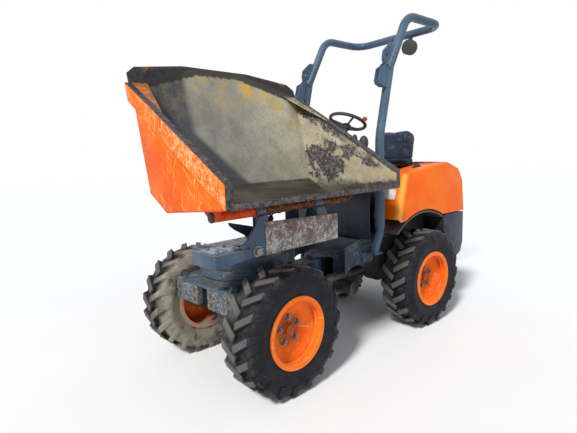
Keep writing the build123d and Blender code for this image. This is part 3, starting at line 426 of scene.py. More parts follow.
def scoured_steel(look, seed):
    """Steel worn bare by loading: dark, with bright nicks."""
    colour = look.mix(look.spots(0.4, 0.6, 0.03, 6, 0.75, seed), SCOURED, (0.105, 0.092, 0.092))
    nicks = look.spots(0.58, 0.67, 0.012, 4, 0.7, seed + 1)
    colour.lay(nicks * 0.5, (0.34, 0.32, 0.32))
    return look.mix(look.along(UP).band(1.7, 1.76) * 0.8, colour, (0.022, 0.022, 0.027))


def inside_mask(look):
    """1 on the faces that look into the skip."""
    inward = look.vector("DOT_PRODUCT", look.vector("SUBTRACT", tuple(SKIP_MIDDLE), look.place), look.facing)
    return look.calc("GREATER_THAN", inward, 0.0)


def skip_wall(name, seed, side=0, behind=False):
    """Orange outside with pale scratches, scoured inside, bare along its edges."""
    look = Look(name)
    outside = look.mix(look.spots(0.35, 0.65, 0.3, 4, seed=seed), (0.72, 0.095, 0.004), (0.84, 0.16, 0.01))
    thin = look.scratches(0.17, 0.62, 0.68, 0.9, seed) | look.scratches(0.12, 0.62, 0.69, -0.7, seed + 4)
    thin = thin | look.scratches(0.08, 0.63, 0.68, 1.4, seed + 5)
    where = look.spots(0.4, 0.58, 0.2, 3, seed=seed + 8)
    outside.lay(thin * where * 0.8, (0.86, 0.44, 0.14))
    scuffs = look.spots(0.58, 0.66, 0.03, 7, 0.8, seed + 2) * where
    outside.lay(scuffs * 0.7, (0.74, 0.42, 0.19))
    dents = look.spots(0.65, 0.7, 0.01, 5, 0.7, seed + 3) * where
    outside.lay(dents * 0.8, (0.16, 0.06, 0.025))
    inner = inside_mask(look)
    colour = look.mix(inner, outside, wall_worn(look, seed, side, behind))
    ahead, left = look.along(SKIP_AHEAD, RING), look.along(SKIP_LEFT, RING)
    if behind:
        gusset = abs(left).band(0.48, 0.5) * look.faces(UP).band(0.6, 0.75)
        rusty = look.mix(look.spots(0.42, 0.56, 0.05, 6, 0.75, seed + 15), (0.66, 0.14, 0.02),
                         look.mix(look.noise(0.02, 4), (0.36, 0.2, 0.05), SCOURED))
        khaki = look.mix(look.spots(0.44, 0.56, 0.04, 6, 0.75, seed + 16), (0.34, 0.31, 0.22), (0.15, 0.09, 0.05))
        colour.lay(gusset, look.mix(left.band(-0.1, 0.1), rusty, khaki))
    end = look.faces(SKIP_AHEAD).band(0.8, 0.92) * ahead.band(0.7, 0.72)
    under = edge_height(ahead, left, behind) - look.along(UP)
    edge = look.edges(0.007) * look.spots(0.36, 0.55, 0.02, 4, seed=seed + 6)
    bare = end | ((edge * 0.9) | under.band(0.012, 0.004))
    colour.lay(bare, scoured_steel(look, seed))
    height = look.noise(0.18, 3, seed=seed) + look.noise(0.012, 6, 0.75, seed=seed) * 0.18
    return look.paint(colour, look.blend(inner, 0.45, 0.75), height, 0.006, specular=0.12)


def skip_bed(name):
    """The skip's floor: orange below, dark on top with wet dirt and painted shade, its lip worn bare."""
    look = Look(name)
    below = look.mix(look.noise(0.1, 5), (0.5, 0.06, 0.008), (0.7, 0.11, 0.012))
    # the top is dark with dirt, and darker still as painted shade so it stays dark in the sun
    bed = look.mix(look.noise(0.09, 6, 0.7, (1.0, 0.25, 1.0), 3.0).band(0.38, 0.64), (0.036, 0.029, 0.024),
                   (0.085, 0.07, 0.054))
    pale = look.spots(0.6, 0.7, 0.05, 6, 0.75, 6.0)
    bed.lay(pale * 0.5, (0.22, 0.19, 0.14))
    colour = look.mix(look.faces(UP).band(0.05, 0.3), below, bed)
    lip = look.along(SKIP_AHEAD, RING).band(0.655, 0.7)
    colour.lay(lip, scoured_steel(look, 4.0))
    height = look.noise(0.1, 4) + look.noise(0.012, 6, 0.75) * 0.3
    return look.paint(colour, 0.62, height, 0.005, specular=0.2)


def tube_paint(name):
    """Skip orange darkened as painted shade at the tube's right end; above the swing frame a painted shadow, nearly
    black, with rust spots.
    """
    look = Look(name)
    left = look.along(SKIP_LEFT, RING)
    # skip orange darkened as painted shade
    shaded_orange = look.mix(look.spots(0.36, 0.64, 0.06, 5), (0.42, 0.045, 0.006), (0.62, 0.085, 0.01))
    # a nearly black painted shadow with rust spots, for the part above the swing frame
    rust = look.mix(look.spots(0.44, 0.6, 0.02, 6, 0.75, 2.0), (0.026, 0.018, 0.013), (0.22, 0.075, 0.018))
    ragged = 0.0 - left + look.noise(0.05, 5, seed=4.0) * 0.1
    colour = look.mix(ragged.band(0.34, 0.26), shaded_orange, rust)
    return look.paint(colour, 0.55, look.noise(0.02, 5, 0.7), 0.0015, specular=0.2)


def rim_band(name):
    """The skip's edge band: orange scraped pale, its top edge and front ends bare."""
    look = Look(name)
    ahead = look.along(SKIP_AHEAD, RING)
    colour = look.mix(look.spots(0.38, 0.62, 0.12, 5), (0.82, 0.12, 0.006), (0.9, 0.185, 0.012))
    forward = look.blend(ahead.band(-0.05, 0.35), 0.12, 0.0)
    scraped = (look.noise(0.05, 6, 0.78, (1.0, 1.0, 1.6), 4.0) - forward).band(0.5, 0.58)
    colour.lay(scraped * 0.65, (0.86, 0.48, 0.2))
    thin = look.scratches(0.08, 0.58, 0.65, 1.2, 2.0) | look.scratches(0.06, 0.58, 0.66, -0.8, 3.0)
    colour.lay(thin * 0.65, (0.85, 0.52, 0.26))
    pits = look.spots(0.58, 0.65, 0.016, 5, 0.75, 9.0)
    colour.lay(pits * 0.7, (0.2, 0.09, 0.05))
    top = look.faces(UP).band(0.3, 0.55)
    end = look.faces(SKIP_AHEAD).band(0.8, 0.92)
    chewed = look.edges(0.012, 0.02, 0.18) * look.spots(0.38, 0.54, 0.03, 5, 0.7, 7.0)
    colour.lay(top | end | chewed, scoured_steel(look, 5.0))
    height = look.noise(0.07, 4) + look.noise(0.01, 6, 0.8) * 0.3
    return look.paint(colour, 0.6, height, 0.006, specular=0.15)


def panel_worn(name):
    """Front panel scoured through to speckled steel, brown at its ends."""
    look = Look(name)
    colour = look.mix(look.spots(0.42, 0.58, 0.03, 6, 0.78), (0.17, 0.16, 0.155), (0.44, 0.43, 0.41))
    brown = look.noise(0.045, 6, 0.78, (1.0, 1.0, 0.6), 3.0, 0.5).band(0.53, 0.6)
    colour.lay(brown * 0.85, (0.115, 0.062, 0.045))
    slate = look.spots(0.55, 0.64, 0.1, 5, 0.7, 6.0) * 0.8
    colour.lay(slate, (0.075, 0.095, 0.12))
    rusty = look.spots(0.5, 0.6, 0.16, 5, 0.7, 11.0)
    colour.lay(rusty * 0.75, look.mix(look.noise(0.02, 5), (0.075, 0.045, 0.035), (0.19, 0.12, 0.085)))
    white = look.spots(0.54, 0.62, 0.014, 5, 0.7, 8.0) * look.blend(rusty, 1.0, 0.35)
    colour.lay(white * 0.8, (0.66, 0.65, 0.64))
    colour.lay(look.edges(0.006) * 0.8, (0.07, 0.06, 0.06))
    return look.paint(colour, 0.6, look.noise(0.015, 6, 0.75), 0.003, specular=0.2)


def tyre_rubber(name, seed, centre, outward, mud):
    """Black rubber, grey where the tread wears and pale with dried mud on the side towards the machine."""
    look = Look(name)
    offset = look.away(centre)
    side = look.vector("DOT_PRODUCT", offset, tuple(outward))
    radius = look.calc("SQRT", look.vector("DOT_PRODUCT", offset, offset) - side ** 2.0)
    colour = look.mix(look.spots(0.35, 0.65, 0.1, 5, seed=seed), (0.0085, 0.009, 0.012), (0.016, 0.017, 0.021))
    crown = (radius + look.noise(0.03, 4, seed=seed) * 0.006).band(TREAD_RADIUS, TREAD_RADIUS + 0.0045)
    colour.lay(crown * 0.85, (0.115, 0.108, 0.102))
    tread = radius.band(0.32, 0.36) * look.spots(0.4, 0.66, 0.05, 5, 0.7, seed + 2)
    colour.lay(tread * 0.45, (0.075, 0.072, 0.068))
    muddy = side.band(0.0, -0.1) * look.spots(0.3, 0.56, 0.14, 6, 0.7, seed + 4)
    colour.lay(muddy * mud, MUD_COLOUR)
    marks = look.spots(0.66, 0.72, 0.03, 5, 0.75, seed + 6) * 0.6
    colour.lay(marks, (0.25, 0.24, 0.22))
    grooves = look.calc("SINE", radius * 900.0)
    height = look.noise(0.01, 6, 0.7, seed=seed) + grooves * 0.08
    return look.paint(colour, look.blend(muddy, 0.62, 0.9), height, 0.0012, specular=0.15)


def plain(name, dark, light, roughness, metallic, size, bump, dirt):
    """A finish of two close shades in a pattern of this size, with a bump of this height and some dust."""
    look = Look(name, roughness, metallic)
    colour = look.mix(look.spots(0.36, 0.66, size, 5, 0.65), dark, light)
    dusty = look.spots(0.45, 0.7, size * 3, 5, 0.7, 3.0) * dirt
    colour.lay(dusty, EARTH)
    rough = look.calc("ADD", roughness, dusty * 0.5, clamp=True)
    return look.paint(colour, rough, look.noise(size * 0.3, 5, 0.7), bump)


def vinyl(name):
    """Black grained vinyl with a blue sheen and dust in its folds."""
    look = Look(name)
    colour = look.mix(look.spots(0.35, 0.65, 0.2, 4), (0.008, 0.017, 0.036), (0.015, 0.028, 0.056))
    dusty = look.spots(0.5, 0.72, 0.06, 5, 0.7, 2.0) * 0.25
    colour.lay(dusty, DUST)
    grain = look.node("TexVoronoi", {"Scale": 420.0, "Vector": look.place}, "Distance")
    height = grain * 0.5 + look.noise(0.05, 4) * 1.5
    return look.paint(colour, look.blend(dusty, 0.36, 0.8), height, 0.0012, specular=0.25)


# ---- shapes ----
SHARP = 35.0  # degrees, over which an edge stays sharp
GROUPS = {}  # of geometry nodes, by their angle


def facing_matrix(origin, direction, up=UP):
    """Local +Z along a direction, at an origin."""
    direction = Vector(direction).normalized()
    side = Vector(up).cross(direction)
    if side.length < 1e-4:
        side = Vector((0, 1, 0)).cross(direction)
    side.normalize()
    turn = Matrix((side, direction.cross(side), direction)).transposed()
    return Matrix.Translation(origin) @ turn.to_4x4()


def circle(radius, steps, start=0.0):
    """Points round a circle, the first a share of a step on."""
    angles = [2 * math.pi * (step + start) / steps for step in range(steps)]
    return [(radius * math.cos(angle), radius * math.sin(angle)) for angle in angles]


def join_rings(form, low, high):
    """Faces between two rings of corners, either of which may be a single point."""
    steps = max(len(low), len(high))
    for step in range(steps):
        after = (step + 1) % steps
        corners = [low[step % len(low)], low[after % len(low)], high[after % len(high)], high[step % len(high)]]
        form.faces.new(list(dict.fromkeys(corners)))


def add_turned(form, profile, place, steps=24, capped=True):
    """A profile of (radius, height) pairs turned about local Z, closed at its ends unless it is a ring."""
    rings = []
    for radius, height in profile:
        points = circle(radius, steps) if radius > 1e-6 else [(0, 0)]
        rings.append([form.verts.new(place @ Vector((x, y, height))) for x, y in points])
    for low, high in zip(rings, rings[1:]):
        join_rings(form, low, high)
    for ring in (rings[0], rings[-1]) if capped else ():
        if len(ring) > 2:
            form.faces.new(ring)


def add_prism(form, outline, low, high, place):
    """An outline of (x, y) pairs between two heights along local Z."""
    below = [form.verts.new(place @ Vector((x, y, low))) for x, y in outline]
    above = [form.verts.new(place @ Vector((x, y, high))) for x, y in outline]
    form.faces.new(below[::-1])
    form.faces.new(above)
    join_rings(form, below, above)


def add_tube(form, line, radius, steps=12):
    """A round bar along a smooth line of points."""
    rings = []
    for index, point in enumerate(line):
        before, after = line[max(index - 1, 0)], line[min(index + 1, len(line) - 1)]
        place = facing_matrix(point, after - before)
        rings.append([form.verts.new(place @ Vector((x, y, 0))) for x, y in circle(radius, steps)])
    for low, high in zip(rings, rings[1:]):
        join_rings(form, low, high)
    form.faces.new(rings[0][::-1])
    form.faces.new(rings[-1])


def hexagon(across):
    """A hexagon's corners, from its width across flats."""
    return circle(across / math.sqrt(3), 6)


def rectangle(width, height, corner=0.0, steps=4):
    """An outline of a rectangle with rounded corners."""
    if corner == 0.0:
        return [(-width / 2, -height / 2), (width / 2, -height / 2), (width / 2, height / 2), (-width / 2, height / 2)]
    points = []
    for quarter, (sx, sy) in enumerate(((1, 1), (-1, 1), (-1, -1), (1, -1))):
        for step in range(steps + 1):
            angle = math.pi / 2 * (quarter + step / steps)
            points.append((sx * (width / 2 - corner) + corner * math.cos(angle),
                           sy * (height / 2 - corner) + corner * math.sin(angle)))
    return points


def modify(thing, name, kind, **settings):
    """Adds a modifier with these settings."""
    modifier = thing.modifiers.new(name, kind)
    for key, value in settings.items():
        setattr(modifier, key, value)


def as_object(name, form, material):
    """Makes an object of a form and adds it to the scene."""
    bmesh.ops.recalc_face_normals(form, faces=form.faces)
    mesh = bpy.data.meshes.new(name)
    form.to_mesh(mesh)
    form.free()
    mesh.materials.append(material)
    thing = bpy.data.objects.new(name, mesh)
    bpy.context.scene.collection.objects.link(thing)
    return thing


def piece(name, form, body, material, rounding=0.0):
    """A finished object of a form, riding on a body."""
    thing = as_object(name, form, material)
    thing.data.shade_smooth()
    thing.data.set_sharp_from_angle(angle=math.radians(SHARP))
    if rounding:
        modify(thing, "rounding", "BEVEL", width=rounding, segments=2, limit_method="ANGLE")
    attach(thing, body)


def dress(node, material, rounding=0.0, angle=SHARP):
    """Gives a CAD node its finish, joins its split corners and rounds its edges a little."""
    thing = NODES[node]
    thing.data.materials.clear()
    thing.data.materials.append(material)
    split = thing.data.attributes.get("custom_normal")
    if split:
        thing.data.attributes.remove(split)
    modify(thing, "weld", "WELD", merge_threshold=0.00002)
    if rounding:
        modify(thing, "rounding", "BEVEL", width=rounding, segments=2, limit_method="ANGLE",
               angle_limit=math.radians(angle))
    modify(thing, "soften", "NODES", node_group=smooth_group(angle))


def round_body(node, width, segments, above):
    """Rounds the upper edges of a moulded cover. Its flat faces are joined first, so that long edges stay whole."""
    thing = NODES[node]
    modify(thing, "flat", "DECIMATE", decimate_type="DISSOLVE", angle_limit=math.radians(1.0))
    modify(thing, "weigh", "NODES", node_group=weight_group(above))
    modify(thing, "moulded", "BEVEL", width=width, segments=segments, limit_method="WEIGHT")
    for index, name in enumerate(("weld", "flat", "weigh", "moulded", "soften")):
        thing.modifiers.move(thing.modifiers.find(name), index)


def geometry_group(name):
    """A group of geometry nodes, with its way in and its way out."""
    group = bpy.data.node_groups.new(name, "GeometryNodeTree")
    for way in ("INPUT", "OUTPUT"):
        group.interface.new_socket("Geometry", in_out=way, socket_type="NodeSocketGeometry")
    return group, group.nodes.new("NodeGroupInput").outputs[0], group.nodes.new("NodeGroupOutput").inputs[0]


def weight_group(above):
    """Geometry nodes that give a bevel weight to the sharp edges over a height."""
    group, start, end = geometry_group("upper_edges")
    edge_angle = new_node(group, "GeometryNodeInputMeshEdgeAngle", {}, "Unsigned Angle")
    sharp = new_node(group, "FunctionNodeCompare", {0: edge_angle, 1: math.radians(8)})
    place = new_node(group, "GeometryNodeInputPosition", {})
    height = new_node(group, "ShaderNodeSeparateXYZ", {0: place}, "Z")
    high = new_node(group, "FunctionNodeCompare", {0: height, 1: above})
    both = new_node(group, "FunctionNodeBooleanMath", {0: sharp, 1: high})
    stored = new_node(group, "GeometryNodeStoreNamedAttribute",
                      {"Geometry": start, "Name": "bevel_weight_edge", "Value": both},
                      data_type="FLOAT", domain="EDGE")
    group.links.new(stored, end)
    return group


def smooth_group(angle):
    """Geometry nodes that shade smooth across edges gentler than an angle."""
    if angle not in GROUPS:
        group, start, end = geometry_group(f"smooth_{angle:.0f}")
        faces = new_node(group, "GeometryNodeSetShadeSmooth", {"Geometry": start}, domain="FACE")
        edge_angle = new_node(group, "GeometryNodeInputMeshEdgeAngle", {}, "Unsigned Angle")
        gentle = new_node(group, "FunctionNodeCompare", {0: edge_angle, 1: math.radians(angle)}, operation="LESS_THAN")
        edges = new_node(group, "GeometryNodeSetShadeSmooth", {"Geometry": faces, "Shade Smooth": gentle},
                         domain="EDGE")
        group.links.new(edges, end)
        GROUPS[angle] = group
    return GROUPS[angle]


# ---- finishes of the CAD nodes ----
# slate_paint takes dirt, seed, brightness and the axle that sprays it. The brightness over 1 on the roll-over frame is
# painted light, and those under 1 on the footwell and counterweight are painted shade.
# plain takes dark, light, roughness, metallic, pattern size, bump height and dirt.
CHASSIS = slate_paint("chassis_slate", 1.0, 1.0)
REAR_CHASSIS = slate_paint("rear_chassis_slate", 1.0, 2.0, 0.9, joint_at("wheel_rear_left_spin"))
GUARD = caked("caked_guard")
# a brighter copy of the slate paint: painted light on the roll-over frame
ROPS = slate_paint("rops_slate", 0.35, 7.0, 1.35)
SWING = slate_paint("swing_slate", 0.8, 9.0, 1.15)
# darker copies of the slate paint: painted shade on the footwell and the counterweight
FOOTWELL = slate_paint("footwell_slate", 0.4, 12.0, 0.5)
WEIGHT = slate_paint("counterweight_slate", 0.5, 15.0, 0.45, joint_at("wheel_rear_left_spin"))
BONNET = bonnet_paint("bonnet_orange")
RIM_PAINT = {}
STEEL = plain("bolt_steel", (0.16, 0.155, 0.15), (0.34, 0.33, 0.31), 0.42, 0.9, 0.006, 0.0003, 0.5)
GREASY = plain("greasy_steel", (0.018, 0.017, 0.017), (0.06, 0.052, 0.045), 0.5, 0.4, 0.02, 0.0006, 0.5)
CHROME = plain("chrome", (0.55, 0.56, 0.58), (0.68, 0.69, 0.70), 0.12, 1.0, 0.02, 0.0001, 0.1)
BLACK_PAINT = plain("black_paint", (0.012, 0.013, 0.016), (0.030, 0.032, 0.036), 0.38, 0.0, 0.03, 0.0004, 0.35)
BLACK_PLASTIC = plain("black_plastic", (0.014, 0.016, 0.020), (0.028, 0.031, 0.036), 0.55, 0.0, 0.004, 0.0004, 0.3)
TUBE_RED = tube_paint("tube_orange")
ARCH = plain("arch_rubber", (0.050, 0.044, 0.042), (0.105, 0.095, 0.090), 0.6, 0.0, 0.08, 0.0008, 0.5)
VINYL = vinyl("seat_vinyl")

WHEELS = {  # (end, side): mud
    ("front", "left"): 0.25, ("front", "right"): 0.9, ("rear", "left"): 0.2, ("rear", "right"): 0.35}
for number, ((end, side), mud) in enumerate(WHEELS.items()):
    centre, outward = wheel_place(end, side)
    rubber = tyre_rubber(f"rubber_{end}_{side}", 3.0 * number, centre, outward, mud)
    dress(f"tyre_{end}_{side}", rubber, 0.005, 45.0)
    RIM_PAINT[end, side] = wheel_paint(f"rim_orange_{end}_{side}", 6.0 + number, centre, outward, mud)
    dress(f"rim_{end}_{side}", RIM_PAINT[end, side], 0.0, 40.0)

FINISHES = {  # finish: nodes, rounding of their edges
    CHASSIS: (("front_deck", "front_rails", "front_tail", "ring_lower", "ring_upper"), 0.002),
    REAR_CHASSIS: (("rear_frame", "tow_hitch"), 0.002),
    GUARD: (("front_guards",), 0.004),
    ROPS: (("rops_posts", "rops_hoop"), 0.0015),
    SWING: (("swing_frame", "tip_ram_barrel"), 0.002),
    FOOTWELL: (("footwell",), 0.002),
    WEIGHT: (("counterweight",), 0.006),
    GREASY: (("front_axle", "rear_axle", "engine_block"), 0.002),
    TUBE_RED: (("skip_hinge",), 0.001),
    BLACK_PAINT: (("steer_ram_barrel", "hydraulic_filter", "seat_base"), 0.001),
    CHROME: (("tip_ram_rod", "steer_ram_rod"), 0.0),
    BLACK_PLASTIC: (("steering_column", "steering_wheel", "control_levers", "work_lamp"), 0.001),
    ARCH: (("wheel_arches",), 0.0),
}
for finish, (members, rounding) in FINISHES.items():
    for member in members:
        dress(member, finish, rounding)
dress("bonnet", BONNET, 0.0, 30.0)
round_body("bonnet", 0.045, 6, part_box("bonnet")[0].z + 0.18)
dress("skip_side_left", skip_wall("skip_left", 1.0, 1), 0.001)
dress("skip_side_right", skip_wall("skip_right", 5.0, -1), 0.001)
dress("skip_back", skip_wall("skip_back", 9.0, behind=True), 0.001)
dress("skip_floor", skip_bed("skip_floor"), 0.002)
dress("skip_rim", rim_band("skip_rim"), 0.003)
dress("swing_panel", panel_worn("swing_panel"), 0.002)


# ---- wheels ----
STUD_COUNT = 5
STUD_CIRCLE = 0.074
BEAD_RINGS = [  # (radius, height) round each hump of the rim's barrel
    [(0.190, 0.062), (0.179, 0.066), (0.176, 0.073), (0.179, 0.080), (0.190, 0.084)],
    [(0.190, 0.100), (0.181, 0.103), (0.180, 0.109), (0.186, 0.1155), (0.190, 0.1155)],
]


def wheel_studs(end, side):
    """Studs with nuts on the dish and a cap over the spindle."""
    centre, outward = wheel_place(end, side)
    face = facing_matrix(centre + outward * DISH_FACE, outward)
    form = bmesh.new()
    for x, y in circle(STUD_CIRCLE, STUD_COUNT, 0.3):
        place = face @ Matrix.Translation((x, y, 0))
        add_turned(form, [(0.020, -0.001), (0.020, 0.003), (0.017, 0.006)], place, 20)
        add_prism(form, hexagon(0.027), 0.005, 0.020, place)
        add_turned(form, [(0.008, 0.019), (0.008, 0.027), (0.006, 0.029)], place, 14)
    piece(f"studs_{end}_{side}", form, f"wheel_{end}_{side}", STEEL)
    form = bmesh.new()
    cap = [(0.042, -0.001), (0.042, 0.006), (0.034, 0.010), (0.032, 0.022), (0.022, 0.027), (0.0, 0.028)]
    add_turned(form, cap, face, 32)
    piece(f"hub_cap_{end}_{side}", form, f"wheel_{end}_{side}", RIM_PAINT[end, side])
    middle = facing_matrix(centre, outward)
    form = bmesh.new()
    for profile in BEAD_RINGS:
        add_turned(form, profile, middle, 64, capped=False)
    piece(f"bead_rings_{end}_{side}", form, f"wheel_{end}_{side}", RIM_PAINT[end, side])
    form = bmesh.new()
    valve = face @ Matrix.Rotation(2.2, 4, "Z") @ Matrix.Translation((0.176, 0, 0.030))
    add_turned(form, [(0.006, 0.0), (0.0045, 0.010), (0.0045, 0.034), (0.0035, 0.036)], valve, 12)
    piece(f"valve_{end}_{side}", form, f"wheel_{end}_{side}", BLACK_PLASTIC)


for end, side in WHEELS:
    wheel_studs(end, side)


# ---- front chassis and swing frame ----
WASHER = 0.0025


def rows_of_bolts(name, body, rows, across):
    """Hexagon heads on washers, from a short table of (origin, direction)."""
    form = bmesh.new()
    for origin, direction in rows:
        place = facing_matrix(origin, direction)
        add_turned(form, [(across * 0.78, -0.001), (across * 0.78, WASHER)], place, 20)
        add_prism(form, hexagon(across), WASHER, WASHER + across / 2, place)
    piece(name, form, body, STEEL)


AHEAD = -FRONT_BACK
rows_of_bolts("guard_bolts", "front_chassis",
              [(front_place(side * x, -0.998, z), AHEAD)
               for side in (-1, 1) for x in (0.090, 0.265) for z in (0.505, 0.560)], 0.022)
NOSE_TOP = 0.888
NOSE_AHEAD = 0.345
form = bmesh.new()
for left, width, depth in ((-0.500, 0.075, 0.120), (-0.395, 0.085, 0.125)):
    place = facing_matrix(swing_place(NOSE_AHEAD, left, NOSE_TOP), UP, SKIP_AHEAD)
    add_prism(form, rectangle(width, depth, 0.006), -0.001, 0.006, place)
NOSE_PAD = plain("nose_pad", (0.16, 0.24, 0.36), (0.26, 0.36, 0.50), 0.35, 0.2, 0.03, 0.0006, 0.3)
piece("nose_pads", form, "swing", NOSE_PAD, 0.001)
rows_of_bolts("nose_bolts", "swing",
              [(swing_place(NOSE_AHEAD + offset, left, NOSE_TOP + 0.006), UP)
               for left in (-0.500, -0.395) for offset in (-0.045, 0.045)], 0.014)
form = bmesh.new()
for middle in (-0.125, 0.135):
    plate = facing_matrix(swing_place(0.300, middle, 0.945), SKIP_AHEAD)
    add_prism(form, rectangle(0.115, 0.205, 0.012), -0.004, 0.004, plate)
piece("cross_plates", form, "swing", SWING, 0.001)
form = bmesh.new()
knee = facing_matrix(swing_place(0.455, -0.285, 0.868), SKIP_AHEAD)
add_turned(form, [(0.032, -0.001), (0.032, 0.005)], knee, 28)
add_prism(form, rectangle(0.036, 0.036), 0.004, 0.022, knee)
piece("upright_bolt", form, "swing", STEEL, 0.001)


# ---- hinge pins' ends ----
HINGE_HALF = 0.538
form = bmesh.new()
for side in (-1, 1):
    place = facing_matrix(HINGE + SKIP_LEFT * (side * HINGE_HALF), SKIP_LEFT * side)
    add_turned(form, [(0.027, -0.002), (0.027, 0.006), (0.024, 0.008), (0.0, 0.008)], place, 28)
piece("hinge_collars", form, "skip", GREASY)


# ---- roll-over frame ----
POST_MIDDLE, POST_HALF = 0.420, 0.030  # across the machine, at the fold
FOOT_FACE = 0.321
form = bmesh.new()
for side in (-1, 1):
    for out in (-1, 1):
        origin = FOLD + REAR_LEFT * (side * POST_MIDDLE + out * POST_HALF)
        place = facing_matrix(origin, REAR_LEFT * out)
        add_turned(form, [(0.016, -0.0035), (0.016, 0.001)], place, 20)
        add_prism(form, hexagon(0.021), 0.0, 0.009, place)
piece("fold_nuts", form, "rear_chassis", STEEL)
rows_of_bolts("post_foot_bolts", "rear_chassis",
              [(rear_place(side * FOOT_FACE, y, z), REAR_LEFT * side)
               for side in (-1, 1) for y, z in ((0.225, 0.590), (0.300, 0.590), (0.300, 0.670))], 0.018)
LENS = Look("lamp_lens", 0.12)
LENS.paint(LENS.mix(LENS.noise(0.02, 4), (0.42, 0.45, 0.48), (0.62, 0.65, 0.68)), 0.12, LENS.noise(0.006, 2),
           0.0008, 0.6)
low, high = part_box("work_lamp")
form = bmesh.new()
place = facing_matrix(Vector(((low.x + high.x) / 2, high.y - 0.0145, low.z + 0.060)), Vector((0, 1, 0)))
add_turned(form, [(0.061, -0.004), (0.061, 0.004), (0.054, 0.005), (0.052, -0.001)], place, 48)
piece("lamp_bezel", form, "roll_hoop", BLACK_PAINT)
form = bmesh.new()
add_turned(form, [(0.052, 0.0), (0.040, 0.003), (0.020, 0.005), (0.0, 0.0055)], place, 48)
piece("lamp_lens", form, "roll_hoop", LENS.material)


# ---- driving place ----
wheel_axis = Vector((0.0, 0.41, 0.91)).normalized()
ring_centre = rear_place(0.0, 0.418, 1.625)
form = bmesh.new()
add_turned(form, [(0.030, -0.046), (0.036, -0.040), (0.036, -0.030), (0.030, -0.024), (0.0, -0.022)],
           facing_matrix(ring_centre, wheel_axis), 36)
piece("wheel_boss_cap", form, "rear_chassis", BLACK_PLASTIC)
LEVERS = (  # foot, head, radius and half height of the grip
    (rear_place(0.193, 0.345, 1.400), rear_place(0.226, 0.345, 1.452), 0.035, 0.052),
    (rear_place(0.158, 0.345, 1.415), rear_place(0.132, 0.350, 1.485), 0.021, 0.034))
form = bmesh.new()
for foot, head, radius, tall in LEVERS:
    add_tube(form, (foot, foot.lerp(head, 0.5), head), 0.008)
    rounded = [(radius * math.cos(a), tall * math.sin(a)) for a in (math.pi * k / 12 for k in range(-6, 7))]
    add_turned(form, [(max(r, 0.0), z) for r, z in rounded], Matrix.Translation(head), 24)
piece("lever_grips", form, "rear_chassis", BLACK_PLASTIC)
RED = plain("knob_red", (0.50, 0.025, 0.010), (0.68, 0.050, 0.020), 0.35, 0.0, 0.02, 0.0002, 0.2)
KNOB_CIRCLE = 0.142
KNOB_TURN = math.radians(-16)
spoke = wheel_axis.cross(REAR_LEFT).normalized()
knob_at = ring_centre + (REAR_LEFT * math.cos(KNOB_TURN) - spoke * math.sin(KNOB_TURN)) * KNOB_CIRCLE
form = bmesh.new()
add_turned(form, [(0.010, 0.008), (0.010, 0.016), (0.017, 0.021), (0.020, 0.032), (0.016, 0.042), (0.008, 0.046),
                  (0.0, 0.047)], facing_matrix(knob_at, wheel_axis), 28)
piece("spinner_knob", form, "rear_chassis", RED)


CLOTH_FRAMES = 20
PAD_FOOT = 0.012  # of a pad's form over its CAD box's foot


def pad(name, node, outline_of, seam_rows):
    """A stuffed seat pad: a smaller closed form, swollen by cloth simulation and then sewn."""
    low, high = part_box(node)
    form = bmesh.new()
    outline_of(form, low, high)
    thing = as_object(name, form, VINYL)
    swell(thing)
    for seam in seam_rows(low, high):
        press_seam(thing, *seam)
    modify(thing, "finer", "SUBSURF", levels=1, render_levels=1)
    thing.data.shade_smooth()
    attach(thing, "rear_chassis")
    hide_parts(node)


def bake(thing):
    """Puts what the modifiers make into the mesh."""
    shown = thing.evaluated_get(bpy.context.evaluated_depsgraph_get())
    made = bpy.data.meshes.new_from_object(shown)
    thing.modifiers.clear()
    thing.data = made


def swell(thing, voxel=0.006, pressure=3.0, cap=0.020):
    """Blows a form up like a cushion, by no more than a cap, and evens it out."""
    modify(thing, "remesh", "REMESH", mode="VOXEL", voxel_size=voxel)
    bake(thing)
    rest = [vertex.co.copy() for vertex in thing.data.vertices]
    cloth = thing.modifiers.new("cloth", "CLOTH")
    cloth.settings.use_pressure = True
    cloth.settings.uniform_pressure_force = pressure
    cloth.settings.effector_weights.gravity = 0.0
    for number in range(1, CLOTH_FRAMES + 1):
        bpy.context.scene.frame_set(number)
    bake(thing)
    for vertex, start in zip(thing.data.vertices, rest):
        move = vertex.co - start
        if move.length > cap:
            vertex.co = start + move.normalized() * cap
    bpy.context.scene.frame_set(1)
    modify(thing, "even", "SMOOTH", factor=0.5, iterations=24)
    bake(thing)


def press_seam(thing, point, normal, depth, width):
    """Draws the cover in along a plane through a point."""
    normal = Vector(normal).normalized()
    middle = sum((vertex.co for vertex in thing.data.vertices), Vector()) / len(thing.data.vertices)
    for vertex in thing.data.vertices:
        away = abs((vertex.co - point).dot(normal))
        if away < width * 3:
            inward = middle - vertex.co
            inward -= normal * inward.dot(normal)
            if inward.length > 1e-5:
                vertex.co += inward.normalized() * depth * math.exp(-(away / width) ** 2)


def cushion_form(form, low, high):
    """Seat pan: a dished middle between raised sides."""
    inset = 0.014
    middle = (low.x + high.x) / 2
    half = (high.x - low.x) / 2 - inset
    foot, top = low.z + PAD_FOOT, high.z - 0.020
    section = [(-half, foot), (half, foot), (half, top - 0.015), (half - 0.045, top + 0.004),
               (half - 0.095, top - 0.022), (0.095 - half, top - 0.022), (0.045 - half, top + 0.004),
               (-half, top - 0.015)]
    front = Matrix.Translation((middle, low.y + inset, 0)) @ Matrix.Rotation(math.pi / 2, 4, "X")
    add_prism(form, section, 2 * inset - (high.y - low.y), 0.0, front)


